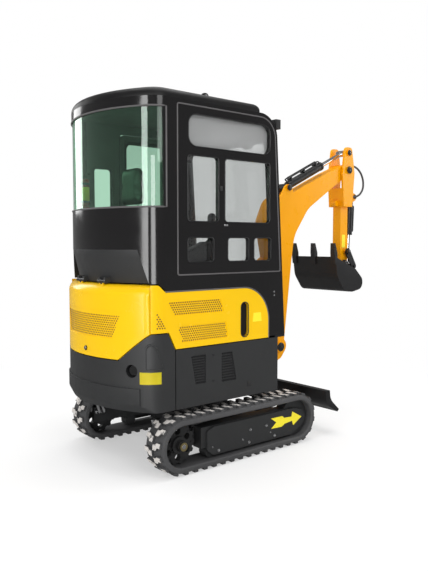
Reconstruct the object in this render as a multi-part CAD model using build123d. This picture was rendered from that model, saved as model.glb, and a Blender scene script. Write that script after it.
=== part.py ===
from build123d import *
import math
import os

os.makedirs("parts", exist_ok=True)

# Mini excavator with a closed cab, in millimetres.
# X points to the machine's right, Y to its front, Z up.
# The origin lies on the ground under the swing axis.

# Undercarriage
overall_width = 1100.0
shoe_width = 180.0
axle_half_span = 490.0
track_height = 350.0
lug_height = 24.0
belt_thickness = 26.0
lug_count = 40
wheel_gap = 0.3
beam_width = 80.0
ring_radius = 215.0
ring_top = 399.7

# House
house_half_width = 500.0
tail_radius = 800.0
tail_center_y = -44.0
corner_radius = 130.0
panel = 25.0
seam = 6.0
skirt_bottom = 392.0
deck_bottom = 400.0
deck_thickness = 24.0
waist = 748.0
cover_top = 1090.0
cover_front = 238.0
cover_corner = 0.645 * (cover_top - waist)
hood_half_width = 470.0
hood_top = cover_top + 42
hood_round = 60.0
hood_lip = 90.0
hood_bottom = 694.0
hood_corner_z = 850.0
hood_corner_x = 295.0
skirt_front = 326.0
skirt_rear = -516.0
weight_depth = 120.0
band_top = 533.0
band_half_width = 430.0
band_rise = 8.0
field_depth = 3.0

# Cab
cab_wall = 30.0
cab_tail_radius = 771.0
cab_rear_bottom = hood_top + 8
rear_crease = 1336.0
undercut = 45.0
cab_split_y = -560.0
roof_edge = 2205.0
roof_crown = 55.0
roof_front = 150.0
front_foot_y = 390.0
front_head_y = 311.0
glass = 5.0
floor_z = 560.0
platform_z = 980.0
platform_front = -20.0

# Arm, side view positions (y, z) on the centre plane
foot_pin = (770.0, 585.0)
stick_pin = (1569.0, 1979.0)
bucket_pin = (1566.0, 1205.0)
rocker_pin = (1584.1, 1302.8)
rod_pin = (1665.3, 1181.9)
link_pin = (1624.0, 1090.0)
boom_base_pin = (580.0, 645.0)
boom_rod_pin = (640.0, 1205.0)
stick_base_pin = (884.0, 1800.0)
stick_rod_pin = (1566.0, 2120.0)
bucket_base_pin = (1690.0, 1765.0)
blade_pin = (350.0, 200.0)
blade_base_pin = (250.0, 285.0)
blade_rod_pin = (610.0, 262.0)
boom_half_width = 55.0
stick_half_width = 40.0
fork_inner = 62.0
fork_outer = 80.0
pin_radius = 18.0
pin_fit = 0.3
bucket_half_width = 230.0
bucket_plate = 12.0
hose_radius = 8.0
hose_route = (
    (1610, 2020),
    (1682, 2010),
    (1742, 1970),
    (1777, 1908),
    (1777, 1838),
    (1735, 1785),
    (1672, 1762),
    (1600, 1768),
)


def outline(points):
    """Closed face from corner points; a third number rounds that corner."""
    count = len(points)
    starts = []
    curves = []
    for i in range(count):
        x, y = points[i][0], points[i][1]
        radius = points[i][2] if len(points[i]) > 2 else 0.0
        if radius == 0.0:
            starts.append(((x, y), None, (x, y)))
            continue
        before = points[i - 1]
        after = points[(i + 1) % count]
        u = Vector(before[0] - x, before[1] - y).normalized()
        v = Vector(after[0] - x, after[1] - y).normalized()
        half_angle = math.radians(u.get_angle(v)) / 2
        reach = radius / math.tan(half_angle)
        inward = (u + v).normalized()
        depth = radius / math.sin(half_angle) - radius
        corner = Vector(x, y)
        first = corner + u * reach
        middle = corner + inward * depth
        last = corner + v * reach
        starts.append(((first.X, first.Y), (middle.X, middle.Y), (last.X, last.Y)))
    for i in range(count):
        first, middle, last = starts[i]
        if middle is not None:
            curves.append(ThreePointArc(first, middle, last))
        following = starts[(i + 1) % count][0]
        curves.append(Line(last, following))
    return make_face(curves)


def side_prism(points, x0, x1):
    """Solid with a side-view outline in (y, z), between two x planes."""
    return extrude(Plane.YZ.offset(x0) * outline(points), amount=x1 - x0)


def plan_prism(points, z0, z1):
    """Solid with a plan outline in (x, y), between two levels."""
    return extrude(Plane.XY.offset(z0) * outline(points), amount=z1 - z0)


def front_prism(points, y0, y1):
    """Solid with a front-view outline in (x, z), between two y planes."""
    return extrude(Plane.XZ.offset(-y1) * outline(points), amount=y1 - y0)


def block(x0, x1, y0, y1, z0, z1):
    centre = Pos((x0 + x1) / 2, (y0 + y1) / 2, (z0 + z1) / 2)
    return centre * Box(abs(x1 - x0), abs(y1 - y0), abs(z1 - z0))


def pin_x(at, radius, x0, x1):
    """Cylinder along X at a side-view point."""
    face = Plane.YZ.offset(x0) * Pos(at[0], at[1]) * Circle(radius)
    return extrude(face, amount=x1 - x0)


def strap(a, b, radius_a, radius_b, x0, x1):
    """Flat link with a round end at each of two side-view points."""
    heading = math.atan2(b[1] - a[1], b[0] - a[0])
    spread = math.acos((radius_a - radius_b) / distance(a, b))

    def on(at, radius, angle):
        return (at[0] + radius * math.cos(angle), at[1] + radius * math.sin(angle))

    left_a = on(a, radius_a, heading + spread)
    left_b = on(b, radius_b, heading + spread)
    right_a = on(a, radius_a, heading - spread)
    right_b = on(b, radius_b, heading - spread)
    curves = [
        ThreePointArc(left_a, on(a, radius_a, heading + math.pi), right_a),
        Line(right_a, right_b),
        ThreePointArc(right_b, on(b, radius_b, heading), left_b),
        Line(left_b, left_a),
    ]
    return extrude(Plane.YZ.offset(x0) * make_face(curves), amount=x1 - x0)


def post(x, y, radius, z0, z1):
    return extrude(Plane.XY.offset(z0) * Pos(x, y) * Circle(radius), amount=z1 - z0)


def bar(start, end, radius, first, last):
    """Round bar on the centre plane along start to end, between two distances."""
    along = Vector(0, end[0] - start[0], end[1] - start[1]).normalized()
    origin = Vector(0, start[0], start[1]) + along * first
    return extrude(Plane(origin=origin, z_dir=along) * Circle(radius), amount=last - first)


def mirrored(shape):
    return mirror(shape, about=Plane.YZ)


def distance(a, b):
    return math.hypot(b[0] - a[0], b[1] - a[1])


def save(shape, name):
    export_step(shape, f"parts/{name}.step")


# Derived sizes
half_width = overall_width / 2
track_x = half_width - shoe_width / 2
track_radius = track_height / 2
belt_radius = track_radius - lug_height
belt_inner = belt_radius - belt_thickness
wheel_radius = belt_inner - wheel_gap
beam_inner = track_x - beam_width / 2
beam_outer = track_x + beam_width / 2
deck_top = deck_bottom + deck_thickness
cover_inner = house_half_width - panel
wall_inner = house_half_width - cab_wall


# Tracks
def belt_point(s, lift):
    """Point on the belt's outer line, at length s along it and lifted outward."""
    straight = 2 * axle_half_span
    bend = math.pi * belt_radius
    s = s % (2 * (straight + bend))
    if s < straight:
        return (-axle_half_span + s, track_radius + belt_radius + lift)
    s -= straight
    if s < bend:
        a = math.pi / 2 - s / belt_radius
        r = belt_radius + lift
        return (axle_half_span + r * math.cos(a), track_radius + r * math.sin(a))
    s -= bend
    if s < straight:
        return (axle_half_span - s, track_radius - belt_radius - lift)
    s -= straight
    a = -math.pi / 2 - s / belt_radius
    r = belt_radius + lift
    return (-axle_half_span + r * math.cos(a), track_radius + r * math.sin(a))


def belt_hole():
    return Pos(0, track_radius) * SlotOverall(2 * (axle_half_span + belt_inner), 2 * belt_inner)


def track_row(x0, x1, phase):
    length = 4 * axle_half_span + 2 * math.pi * belt_radius
    pitch = length / lug_count
    points = []
    for i in range(lug_count):
        s = (i + phase) * pitch
        points.append(belt_point(s - pitch * 0.30, 0))
        points.append(belt_point(s - pitch * 0.22, lug_height))
        points.append(belt_point(s + pitch * 0.22, lug_height))
        points.append(belt_point(s + pitch * 0.30, 0))
    face = make_face(Polyline(points, close=True)) - belt_hole()
    return extrude(Plane.YZ.offset(x0) * face, amount=x1 - x0)


def track():
    middle = track_x
    outer_row = track_row(middle, middle + shoe_width / 2, 0.0)
    inner_row = track_row(middle - shoe_width / 2, middle, 0.5)
    return outer_row + inner_row


def track_beam():
    axle = track_radius
    top = axle + 75
    foot = axle - 55
    roller_radius = 40.0
    roller_z = track_radius - belt_inner + wheel_gap + roller_radius
    beam = block(beam_inner, beam_outer, -330, 440, foot, top)
    plate = [
        (-292, axle + 50, 25),
        (-292, axle - 72, 25),
        (-240, axle - 108, 25),
        (axle_half_span - 40, axle - 108, 60),
        (axle_half_span + 92, axle - 45, 60),
        (axle_half_span + 92, axle + 40, 50),
        (axle_half_span - 20, axle + 70, 60),
        (-240, axle + 70, 25),
    ]
    beam += side_prism(plate, beam_outer, beam_outer + 14)
    beam += pin_x((axle_half_span, axle), wheel_radius, beam_inner + 5, beam_outer - 5)
    beam += pin_x((axle_half_span, axle), 45, beam_outer - 20, beam_outer + 7)
    for y in (-250, 0, 250):
        beam += pin_x((y, roller_z), roller_radius, beam_inner + 8, beam_outer - 8)
    rear = -axle_half_span
    carrier = [
        (beam_inner - 15, rear - 70),
        (beam_inner, rear - 70),
        (beam_inner, rear + 145),
        (beam_inner + 10, rear + 145),
        (beam_inner + 10, rear + 190),
        (beam_inner - 15, rear + 190),
    ]
    beam += plan_prism(carrier, axle - 45, axle + 60)
    return beam


def sprocket():
    tooth_count = 14
    root = wheel_radius - 13
    at = (-axle_half_span, track_radius)
    teeth = []
    for i in range(tooth_count):
        for share, radius in ((-0.34, root), (-0.16, wheel_radius), (0.16, wheel_radius), (0.34, root)):
            a = 2 * math.pi * (i + share) / tooth_count
            teeth.append((at[0] + radius * math.cos(a), at[1] + radius * math.sin(a)))
    wheel = side_prism(teeth, track_x - 18, track_x + 18)
    for i in range(6):
        a = math.pi * (i + 0.5) / 3
        wheel -= pin_x((at[0] + 78 * math.cos(a), at[1] + 78 * math.sin(a)), 20, track_x - 20, track_x + 20)
    wheel += pin_x(at, 52, track_x + 18, track_x + 40)
    wheel += pin_x(at, 72, beam_inner, track_x - 18)
    nut = Plane.YZ.offset(track_x + 40) * Pos(at[0], at[1]) * RegularPolygon(34, 6)
    wheel += extrude(nut, amount=26)
    wheel += pin_x(at, 14, track_x + 66, track_x + 80)
    return wheel


def lower_frame():
    axle = track_radius
    seat_z = ring_top - 50
    body = block(-260, 260, -240, 240, axle + 5, axle + 75)
    body += block(-beam_inner, beam_inner, -230, -110, axle + 5, axle + 65)
    body += block(-beam_inner, beam_inner, 110, 230, axle + 5, axle + 65)
    body += post(0, 0, ring_radius - 10, axle + 70, seat_z)
    ear = [(200, axle + 5), (200, axle + 75), (blade_pin[0], blade_pin[1] + 40, 30)]
    ear += [(blade_pin[0] + 40, blade_pin[1], 30), (blade_pin[0], blade_pin[1] - 40, 30)]
    for x in (175, 245):
        body += side_prism(ear, x, x + 20)
        body += side_prism(ear, -x - 20, -x)
    lug = [(200, axle + 60), (200, blade_base_pin[1] + 15), (blade_base_pin[0], blade_base_pin[1] + 30, 20)]
    lug += [(blade_base_pin[0] + 30, blade_base_pin[1], 20), (blade_base_pin[0] + 10, axle + 60)]
    body += side_prism(lug, 27, 42)
    body += side_prism(lug, -42, -27)
    body += pin_x(blade_base_pin, 12, -48, 48)
    for x in (175, -265):
        body += pin_x(blade_pin, 16, x - 5, x + 95)
    return body


def slew_ring():
    seat_z = ring_top - 50
    outer = post(0, 0, ring_radius, seat_z, ring_top)
    return outer - post(0, 0, ring_radius - 60, seat_z, ring_top)


def blade():
    section = [
        (761, 325),
        (807, 325),
        (814, 258, 90),
        (909, 173),
        (893, 157),
        (770, 225, 70),
    ]
    wall = side_prism(section, -half_width, half_width)
    arm = [
        (blade_pin[0] - 34, blade_pin[1], 30),
        (blade_pin[0], blade_pin[1] + 36, 30),
        (790, 275),
        (790, 215),
        (blade_pin[0], blade_pin[1] - 36, 30),
    ]
    for x in (201, -239):
        side = side_prism(arm, x, x + 38) - pin_x(blade_pin, 16 + pin_fit, x - 1, x + 39)
        wall += side
    wall += block(-220, 220, 560, 660, 214, 236)
    lug = [
        (560, 214),
        (blade_rod_pin[0] - 28, blade_rod_pin[1] + 10, 18),
        (blade_rod_pin[0], blade_rod_pin[1] + 28, 18),
        (blade_rod_pin[0] + 28, blade_rod_pin[1] + 10, 18),
        (660, 214),
    ]
    wall += side_prism(lug, 27, 42)
    wall += side_prism(lug, -42, -27)
    wall += pin_x(blade_rod_pin, 20, 42, 52)
    wall += pin_x(blade_rod_pin, 20, -52, -42)
    return wall


def barrel(base, eye, radius, start, length, rod_radius, eye_half, base_pin):
    """Cylinder barrel with its base eye and an open bore for the rod."""
    body = bar(base, eye, radius, start, length)
    body += bar(base, eye, radius * 0.55, 0, start)
    body += pin_x(base, base_pin + 14, -eye_half, eye_half)
    body -= bar(base, eye, rod_radius + pin_fit, start + 20, length + 1)
    body -= pin_x(base, base_pin + pin_fit, -eye_half - 1, eye_half + 1)
    return body


def rod(base, eye, radius, first, eye_radius, eye_half):
    """Piston rod from inside the barrel to its eye."""
    body = bar(base, eye, radius, first, distance(base, eye))
    body += pin_x(eye, eye_radius, -eye_half, eye_half)
    return body


# House panels share one plan: straight sides and a round tail
def house_plan(inset, radius, front):
    half = house_half_width - inset
    back = -2000
    band = Pos(0, (front + back) / 2) * Rectangle(2 * half, front - back)
    face = band & (Pos(0, tail_center_y) * Circle(radius - inset))
    corners = face.vertices().group_by(Axis.Y)[0]
    return fillet(corners, corner_radius - inset)


def shell(radius, inset, depth, front, z0, z1):
    ring = house_plan(inset, radius, front) - house_plan(inset + depth, radius, front)
    return extrude(Plane.XY.offset(z0) * ring, amount=z1 - z0)


def hood_outline(grow):
    return [
        (-hood_half_width - grow, hood_top + grow),
        (hood_half_width + grow, hood_top + grow),
        (hood_half_width + grow, hood_corner_z - grow * 0.4),
        (hood_corner_x + grow * 0.4, hood_bottom - grow),
        (-hood_corner_x - grow * 0.4, hood_bottom - grow),
        (-hood_half_width - grow, hood_corner_z - grow * 0.4),
    ]


hinge_y = tail_center_y - tail_radius + hood_round - 6
hinge_z = hood_top + 14
hinge_x = 130.0


hood_field = ((-320, 980, 8), (320, 980, 8), (256, 816, 8), (-256, 816, 8))
cover_fields = (
    ((-572, 1031, 8), (-173, 1031, 8), (-146, 952, 8), (-530, 952, 8)),
    ((-503, 888, 8), (-128, 888, 8), (-115, 789, 8), (-472, 789, 8)),
)
left_fields = (
    ((-572, 1031, 8), (-392, 1031, 8), (-372, 952, 8), (-530, 952, 8)),
    ((-503, 888, 8), (-380, 888, 8), (-372, 789, 8), (-472, 789, 8)),
)
skirt_fields = (
    ((-405, 700, 10), (-291, 700, 10), (-291, 525, 10), (-370, 525, 10)),
    ((-165, 696, 10), (-80, 696, 10), (-41, 512, 10), (-165, 512, 10)),
)
grip_slot = ((-3, 779, 29), (57, 779, 29), (57, 998, 29), (-3, 998, 29))
grip_depth = 18.0


def tail_block(inset, z0, z1, rounding):
    """Solid of the house plan whose upper edge is rounded all round the tail."""
    body = extrude(Plane.XY.offset(z0) * house_plan(inset, tail_radius, 0), amount=z1 - z0)
    rim = body.faces().sort_by(Axis.Z)[-1].edges().sort_by(Axis.Y)[:-1]
    return fillet(rim, rounding)


def side_field(points, depth):
    """Cutter for a shallow field in the right-hand panels."""
    return side_prism(points, house_half_width - depth, house_half_width + 1)


def hood():
    skin = tail_block(0, hood_bottom, hood_top, hood_round)
    skin -= tail_block(panel, hood_bottom - 1, hood_top - panel, hood_round - panel)
    opening = house_plan(hood_lip, tail_radius, 0)
    skin -= extrude(Plane.XY.offset(hood_bottom) * opening, amount=hood_top)
    skin = skin & front_prism(hood_outline(0), -1000, -622)
    field = shell(tail_radius, -1, field_depth + 1, 0, hood_bottom, hood_top)
    skin -= field & front_prism(hood_field, -1000, -500)
    for x in (-hinge_x, hinge_x):
        skin += pin_x((hinge_y, hinge_z), 11, x - 22, x + 22)
        skin += block(x - 22, x + 22, hinge_y - 8, hinge_y + 20, hinge_z - 26, hinge_z)
    return skin


exhaust_at = (380.0, 634.0)
exhaust_radius = 38.0
exhaust_depth = 70.0
tail_bevel = 26.0


def weight_band():
    """Raised band round the foot of the tail, square at both ends."""
    band = shell(tail_radius, -band_rise, band_rise + 2, 0, skirt_bottom, band_top)
    ends = block(-band_half_width, band_half_width, -1000, -400, skirt_bottom, band_top)
    return band & ends


def tail_chamfer():
    """Cutter that draws the tail in towards its lower edge."""
    reach = tail_radius + band_rise
    rise = 2 * tail_bevel
    cone = Cone(reach - tail_bevel, reach, rise)
    ring = Cylinder(reach + 50, rise) - cone
    return Pos(0, tail_center_y, skirt_bottom + rise / 2) * ring


def exhaust_hole():
    x, z = exhaust_at
    y = tail_center_y - math.sqrt(tail_radius**2 - x**2)
    outward = Vector(x, y - tail_center_y, 0).normalized()
    mouth = Plane(origin=Vector(x, y, z) + outward * 10, z_dir=outward)
    return extrude(mouth * Circle(exhaust_radius), amount=-exhaust_depth - 10)


def counterweight():
    top = hood_corner_z
    body = shell(tail_radius, 0, weight_depth, 0, deck_top, top)
    body += shell(tail_radius, 0, panel - 1, 0, skirt_bottom, deck_top)
    body += weight_band()
    body -= front_prism(hood_outline(seam), -1000, -300)
    keep = [
        (-1000, skirt_bottom),
        (skirt_rear - seam, skirt_bottom),
        (skirt_rear - seam, waist),
        (skirt_rear - seam - 50, top),
        (-1000, top),
    ]
    body = body & side_prism(keep, -house_half_width - 1, house_half_width + 1)
    body -= tail_chamfer()
    body -= exhaust_hole()
    return body


def cover_outline(front, corner):
    return [
        (-760, hood_corner_z + seam),
        (skirt_rear - 50, hood_corner_z + seam),
        (skirt_rear, waist + seam),
        (front, waist + seam),
        (front, cover_top, corner),
        (cab_split_y - 30, cover_top, 30),
        (cab_split_y - 75, hood_top, 20),
        (-760, hood_top),
    ]


def side_cover(front, corner, fields):
    skin = shell(tail_radius, 0, panel, front + 1, waist, hood_top)
    skin = skin & side_prism(cover_outline(front, corner), cover_inner, house_half_width + 1)
    skin -= front_prism(hood_outline(seam), -1000, skirt_rear - 50)
    for points in fields:
        skin -= side_field(points, field_depth)
    return skin


def side_skirt():
    skin = block(cover_inner, house_half_width, skirt_rear, skirt_front, skirt_bottom, waist)
    for points in skirt_fields:
        skin -= side_field(points, 2 * field_depth)
    return skin


def deck():
    plate = house_plan(panel, tail_radius, skirt_front - panel)
    body = extrude(Plane.XY.offset(deck_bottom) * plate, amount=deck_thickness)
    body += block(-cover_inner, cover_inner, skirt_front - panel, skirt_front, deck_bottom, waist)
    body += block(
        -house_half_width,
        house_half_width,
        skirt_front - panel,
        front_foot_y,
        waist,
        waist + 14,
    )
    return body


wall_bottom = waist + 14


def front_y(z, depth):
    """Front face of the cab at a height, set back by depth."""
    share = (z - wall_bottom) / (roof_edge - 150 - wall_bottom)
    return front_foot_y + (front_head_y - front_foot_y) * share - depth


def wall_outline(bottom_front, corner):
    return [
        (cab_split_y, cover_top + seam),
        (bottom_front, cover_top + seam, corner),
        (bottom_front, wall_bottom),
        (front_foot_y, wall_bottom),
        (front_y(roof_edge, 0), roof_edge, 150),
        (cab_split_y, roof_edge),
    ]


def cab_z(share):
    """Height in the cab, from 0 at the cover's top to 1 at the roof's edge."""
    return cover_top + share * (roof_edge - cover_top)


top_row = (cab_z(0.764), cab_z(0.933))
middle_row = (cab_z(0.370), cab_z(0.7175))
low_row = (cab_z(0.154), cab_z(0.285))
window_top = (-420.0, 245.0, *top_row)
windows = (
    (-427.0, -190.0, *middle_row),
    (-140.0, 245.0, *middle_row),
    (-427.0, -228.0, *low_row),
    (-116.0, 61.0, *low_row),
    (105.0, 258.0, *low_row),
)


def window_cut(y0, y1, z0, z1, corner):
    face = Pos((y0 + y1) / 2, (z0 + z1) / 2) * RectangleRounded(y1 - y0, z1 - z0, corner)
    cut = extrude(Plane.YZ.offset(wall_inner - 20) * face, amount=cab_wall + 40)
    return cut


def cab_right():
    wall = side_prism(wall_outline(cover_front + seam, cover_corner + seam), wall_inner, house_half_width)
    wall -= window_cut(*window_top, 60)
    for window in windows:
        wall -= window_cut(*window, 22)
    return wall


door_rear = -300.0
door_bottom = wall_bottom + 30
door_top = roof_edge - 60
door_gap = 5.0
hinge_levels = (cover_top + 60, cab_z(0.68))


def door_outline(shrink):
    return [
        (door_rear + shrink, door_bottom + shrink, 40),
        (front_y(door_bottom, 50) - shrink, door_bottom + shrink, 40),
        (front_y(door_top, 50) - shrink, door_top - shrink, 110),
        (door_rear + shrink, door_top - shrink, 40),
    ]


def cab_left():
    wall = side_prism(wall_outline(door_rear - 30, 20), wall_inner, house_half_width)
    wall -= side_prism(door_outline(0), wall_inner - 1, house_half_width + 1)
    wall -= window_cut(cab_split_y + 60, door_rear - 60, *middle_row, 22)
    wall = mirrored(wall)
    for z in hinge_levels:
        wall += post(-door_hinge_x, door_hinge_y, 9, z - 40, z)
        wall += block(-door_hinge_x, -house_half_width + 1, door_hinge_y - 30, door_hinge_y - 6, z - 40, z)
        wall += block(-door_hinge_x - 4, -door_hinge_x + 4, door_hinge_y - 30, door_hinge_y, z - 40, z)
    return wall


door_hinge_x = house_half_width + 12
door_hinge_y = door_rear - 2


def door():
    wall = side_prism(door_outline(door_gap), wall_inner, house_half_width)
    wall -= window_cut(door_rear + 60, 225, cab_z(0.42), cab_z(0.892), 50)
    wall -= window_cut(door_rear + 60, 250, door_bottom + 168, cab_z(0.314), 40)
    wall = mirrored(wall)
    for z in hinge_levels:
        wall += post(-door_hinge_x, door_hinge_y, 9, z + 0.4, z + 40)
        low = z + 0.4
        high = z + 40
        ahead = door_hinge_y + 40
        wall += block(-door_hinge_x - 4, -door_hinge_x + 4, door_hinge_y, ahead, low, high)
        wall += block(-door_hinge_x, -house_half_width + 1, door_hinge_y + 12, ahead, low, high)
    wall += block(-house_half_width - 25, -house_half_width + 1, 180, 205, cab_z(0.35), cab_z(0.395))
    return wall


def door_glass():
    sheet = [
        (door_rear + 45, door_bottom + 153),
        (265, door_bottom + 153),
        (240, cab_z(0.906)),
        (door_rear + 45, cab_z(0.906)),
    ]
    return mirrored(side_prism(sheet, wall_inner - glass, wall_inner))


def right_glass():
    sheet = [
        (-445, cab_z(0.134)),
        (275, cab_z(0.134)),
        (262, cab_z(0.888)),
        (220, cab_z(0.95)),
        (-445, cab_z(0.95)),
    ]
    return side_prism(sheet, wall_inner - glass, wall_inner)


rear_window_bottom = cab_z(0.441)
rear_window_top = cab_z(0.951)
rear_window_edge = -600.0


def cab_rear():
    corner_bottom = cover_top + seam
    wall = shell(cab_tail_radius, 0, cab_wall, 0, corner_bottom, roof_edge)
    backing = shell(cab_tail_radius, 0, cab_wall + undercut, 0, cab_rear_bottom, rear_crease + 30)
    wall += backing & rear_zone(30)
    wall = wall & block(-600, 600, -1000, cab_split_y, cover_top, roof_edge)
    sweep_up = [
        (-1000, corner_bottom - 1),
        (cab_split_y - 30 + seam, corner_bottom - 1),
        (cab_split_y - 75 + seam, cab_rear_bottom, 20),
        (-1000, cab_rear_bottom),
    ]
    wall -= side_prism(sweep_up, -house_half_width - 1, house_half_width + 1)
    wall -= block(-600, 600, -1000, rear_window_edge, rear_window_bottom, rear_window_top)
    wall -= rear_slope() & rear_zone(0)
    for x in (-hinge_x, hinge_x):
        for side in (-1, 1):
            at = x + side * 34
            wall += pin_x((hinge_y, hinge_z), 11, at - 11.6, at + 11.6)
            wall += block(at - 11.6, at + 11.6, hinge_y - 5, hinge_y + 60, hinge_z - 6, hinge_z + 24)
    return wall


def rear_zone(grow):
    """Space of the lower rear panel, wider towards the hood."""
    zone = [
        (-450 - grow, cab_rear_bottom - 1),
        (450 + grow, cab_rear_bottom - 1),
        (390 + grow, rear_crease + grow),
        (-390 - grow, rear_crease + grow),
    ]
    return front_prism(zone, -1000, -600)


def rear_slope():
    """Cutter that draws the lower rear panel in towards the hood."""
    rise = rear_crease - cab_rear_bottom
    cone = Cone(cab_tail_radius - undercut, cab_tail_radius, rise)
    ring = Cylinder(cab_tail_radius + 100, rise) - cone
    return Pos(0, tail_center_y, cab_rear_bottom + rise / 2) * ring


def rear_glass():
    sheet = shell(cab_tail_radius, 6, 6, 0, rear_window_bottom, rear_window_top)
    return sheet & block(-600, 600, -1000, rear_window_edge, cover_top, roof_edge)


def cab_front():
    depth = 35.0
    outer = [
        (front_foot_y, wall_bottom),
        (front_y(roof_edge, 0), roof_edge, 150),
        (roof_front, roof_edge),
        (roof_front, roof_edge - depth),
        (front_y(roof_edge - depth, depth), roof_edge - depth, 150 - depth),
        (front_foot_y - depth, wall_bottom),
    ]
    frame = side_prism(outer, -wall_inner, wall_inner)
    frame -= front_prism(
        [
            (-wall_inner + 60, wall_bottom + 198, 40),
            (wall_inner - 60, wall_bottom + 198, 40),
            (wall_inner - 60, cab_z(0.852), 40),
            (-wall_inner + 60, cab_z(0.852), 40),
        ],
        200,
        500,
    )
    return frame


def windscreen():
    depth = 35.0
    z0 = wall_bottom + 168
    z1 = cab_z(0.861)
    sheet = [
        (front_y(z0, depth + glass), z0),
        (front_y(z0, depth), z0),
        (front_y(z1, depth), z1),
        (front_y(z1, depth + glass), z1),
    ]
    return side_prism(sheet, -wall_inner + 35, wall_inner - 35)


def cab_roof():
    face = house_plan(0, cab_tail_radius, roof_front)
    slab = extrude(Plane.XY.offset(roof_edge) * face, amount=roof_crown)
    top = slab.faces().sort_by(Axis.Z)[-1]
    slab = fillet(top.edges(), roof_crown - 8)
    eye_x = house_half_width - 90
    eye = side_prism(
        [
            (-250, roof_edge + 40),
            (-250, roof_edge + 82, 20),
            (-200, roof_edge + 82, 20),
            (-200, roof_edge + 40),
        ],
        eye_x - 6,
        eye_x + 6,
    )
    eye -= pin_x((-225, roof_edge + 66), 9, eye_x - 10, eye_x + 10)
    return slab + eye


def work_light():
    x0 = house_half_width - 80
    y0 = front_head_y + 8
    z0 = roof_edge - 80
    lamp = block(x0, x0 + 60, y0, y0 + 42, z0, z0 + 62)
    arm = block(x0 + 20, x0 + 40, y0 - 50, y0 + 5, z0 + 8, z0 + 28)
    gap = wheel_gap
    head = [
        (0, z0 - 200),
        (front_y(z0 - 200, -gap), z0 - 200),
        (front_y(roof_edge + gap, -gap), roof_edge + gap, 150 + gap),
        (0, roof_edge + gap),
    ]
    return lamp + (arm - side_prism(head, -house_half_width, house_half_width))


def cab_floor():
    thick = 20.0
    profile = [
        (skirt_front - panel, floor_z - thick),
        (skirt_front - panel, floor_z),
        (platform_front, floor_z),
        (platform_front, platform_z),
        (-690, platform_z),
        (-690, platform_z - thick),
        (platform_front - thick, platform_z - thick),
        (platform_front - thick, floor_z - thick),
    ]
    inner = wall_inner - glass - seam
    body = side_prism(profile, -inner, inner)
    wing_front = door_rear - 60
    body += block(-cover_inner, cover_inner, -690, wing_front, platform_z - thick, platform_z)
    tail = extrude(Plane.XY.offset(500) * house_plan(panel, tail_radius, 400), amount=600)
    body = body & tail
    for side in (-1, 1):
        body += block(250 * side, 340 * side, -260, -40, platform_z, platform_z + 190)
        body += post(side * 295, -100, 9, platform_z + 180, platform_z + 290)
        body += post(side * 295, -100, 20, platform_z + 285, platform_z + 375)
        body += post(side * 70, 170, 11, floor_z - 5, floor_z + 420)
        body += post(side * 70, 170, 20, floor_z + 400, floor_z + 510)
    body += block(-180, 180, -560, -536, platform_z - 5, platform_z + 500)
    return body


def seat_cushion():
    body = block(-215, 215, -440, -40, platform_z + wheel_gap, platform_z + 100)
    return fillet(body.edges().filter_by(Axis.Z), 50)


def seat_back():
    z0 = platform_z + 100 + wheel_gap
    body = block(-205, 205, -536 + wheel_gap, -445, z0, z0 + 500)
    return fillet(body.edges().filter_by(Axis.Y), 60)


def engine():
    return block(-280, 280, -640, -200, deck_top, platform_z - 60)


def boom_bracket():
    y0 = skirt_front
    base = block(-170, 170, y0, y0 + 22, deck_bottom + 10, waist - 10)
    ear = [
        (y0 + 20, deck_bottom + 20),
        (y0 + 20, waist - 40),
        (boom_base_pin[0], boom_base_pin[1] + 60, 40),
        (foot_pin[0], foot_pin[1] + 95, 60),
        (foot_pin[0] + 88, foot_pin[1] + 10, 60),
        (foot_pin[0] + 10, foot_pin[1] - 88, 60),
        (boom_base_pin[0], deck_bottom + 30, 60),
    ]
    inner = boom_half_width + seam
    for x in (inner, -inner - 24):
        base += side_prism(ear, x, x + 24)
    base += block(-inner, inner, y0 + 20, boom_base_pin[0] + 60, deck_bottom + 30, deck_bottom + 54)
    for at in (foot_pin, boom_base_pin):
        base += pin_x(at, pin_radius, -inner - 34, inner + 34)
    base += pin_x(foot_pin, 42, inner + 24, inner + 32)
    base += pin_x(foot_pin, 42, -inner - 32, -inner - 24)
    return base


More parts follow.
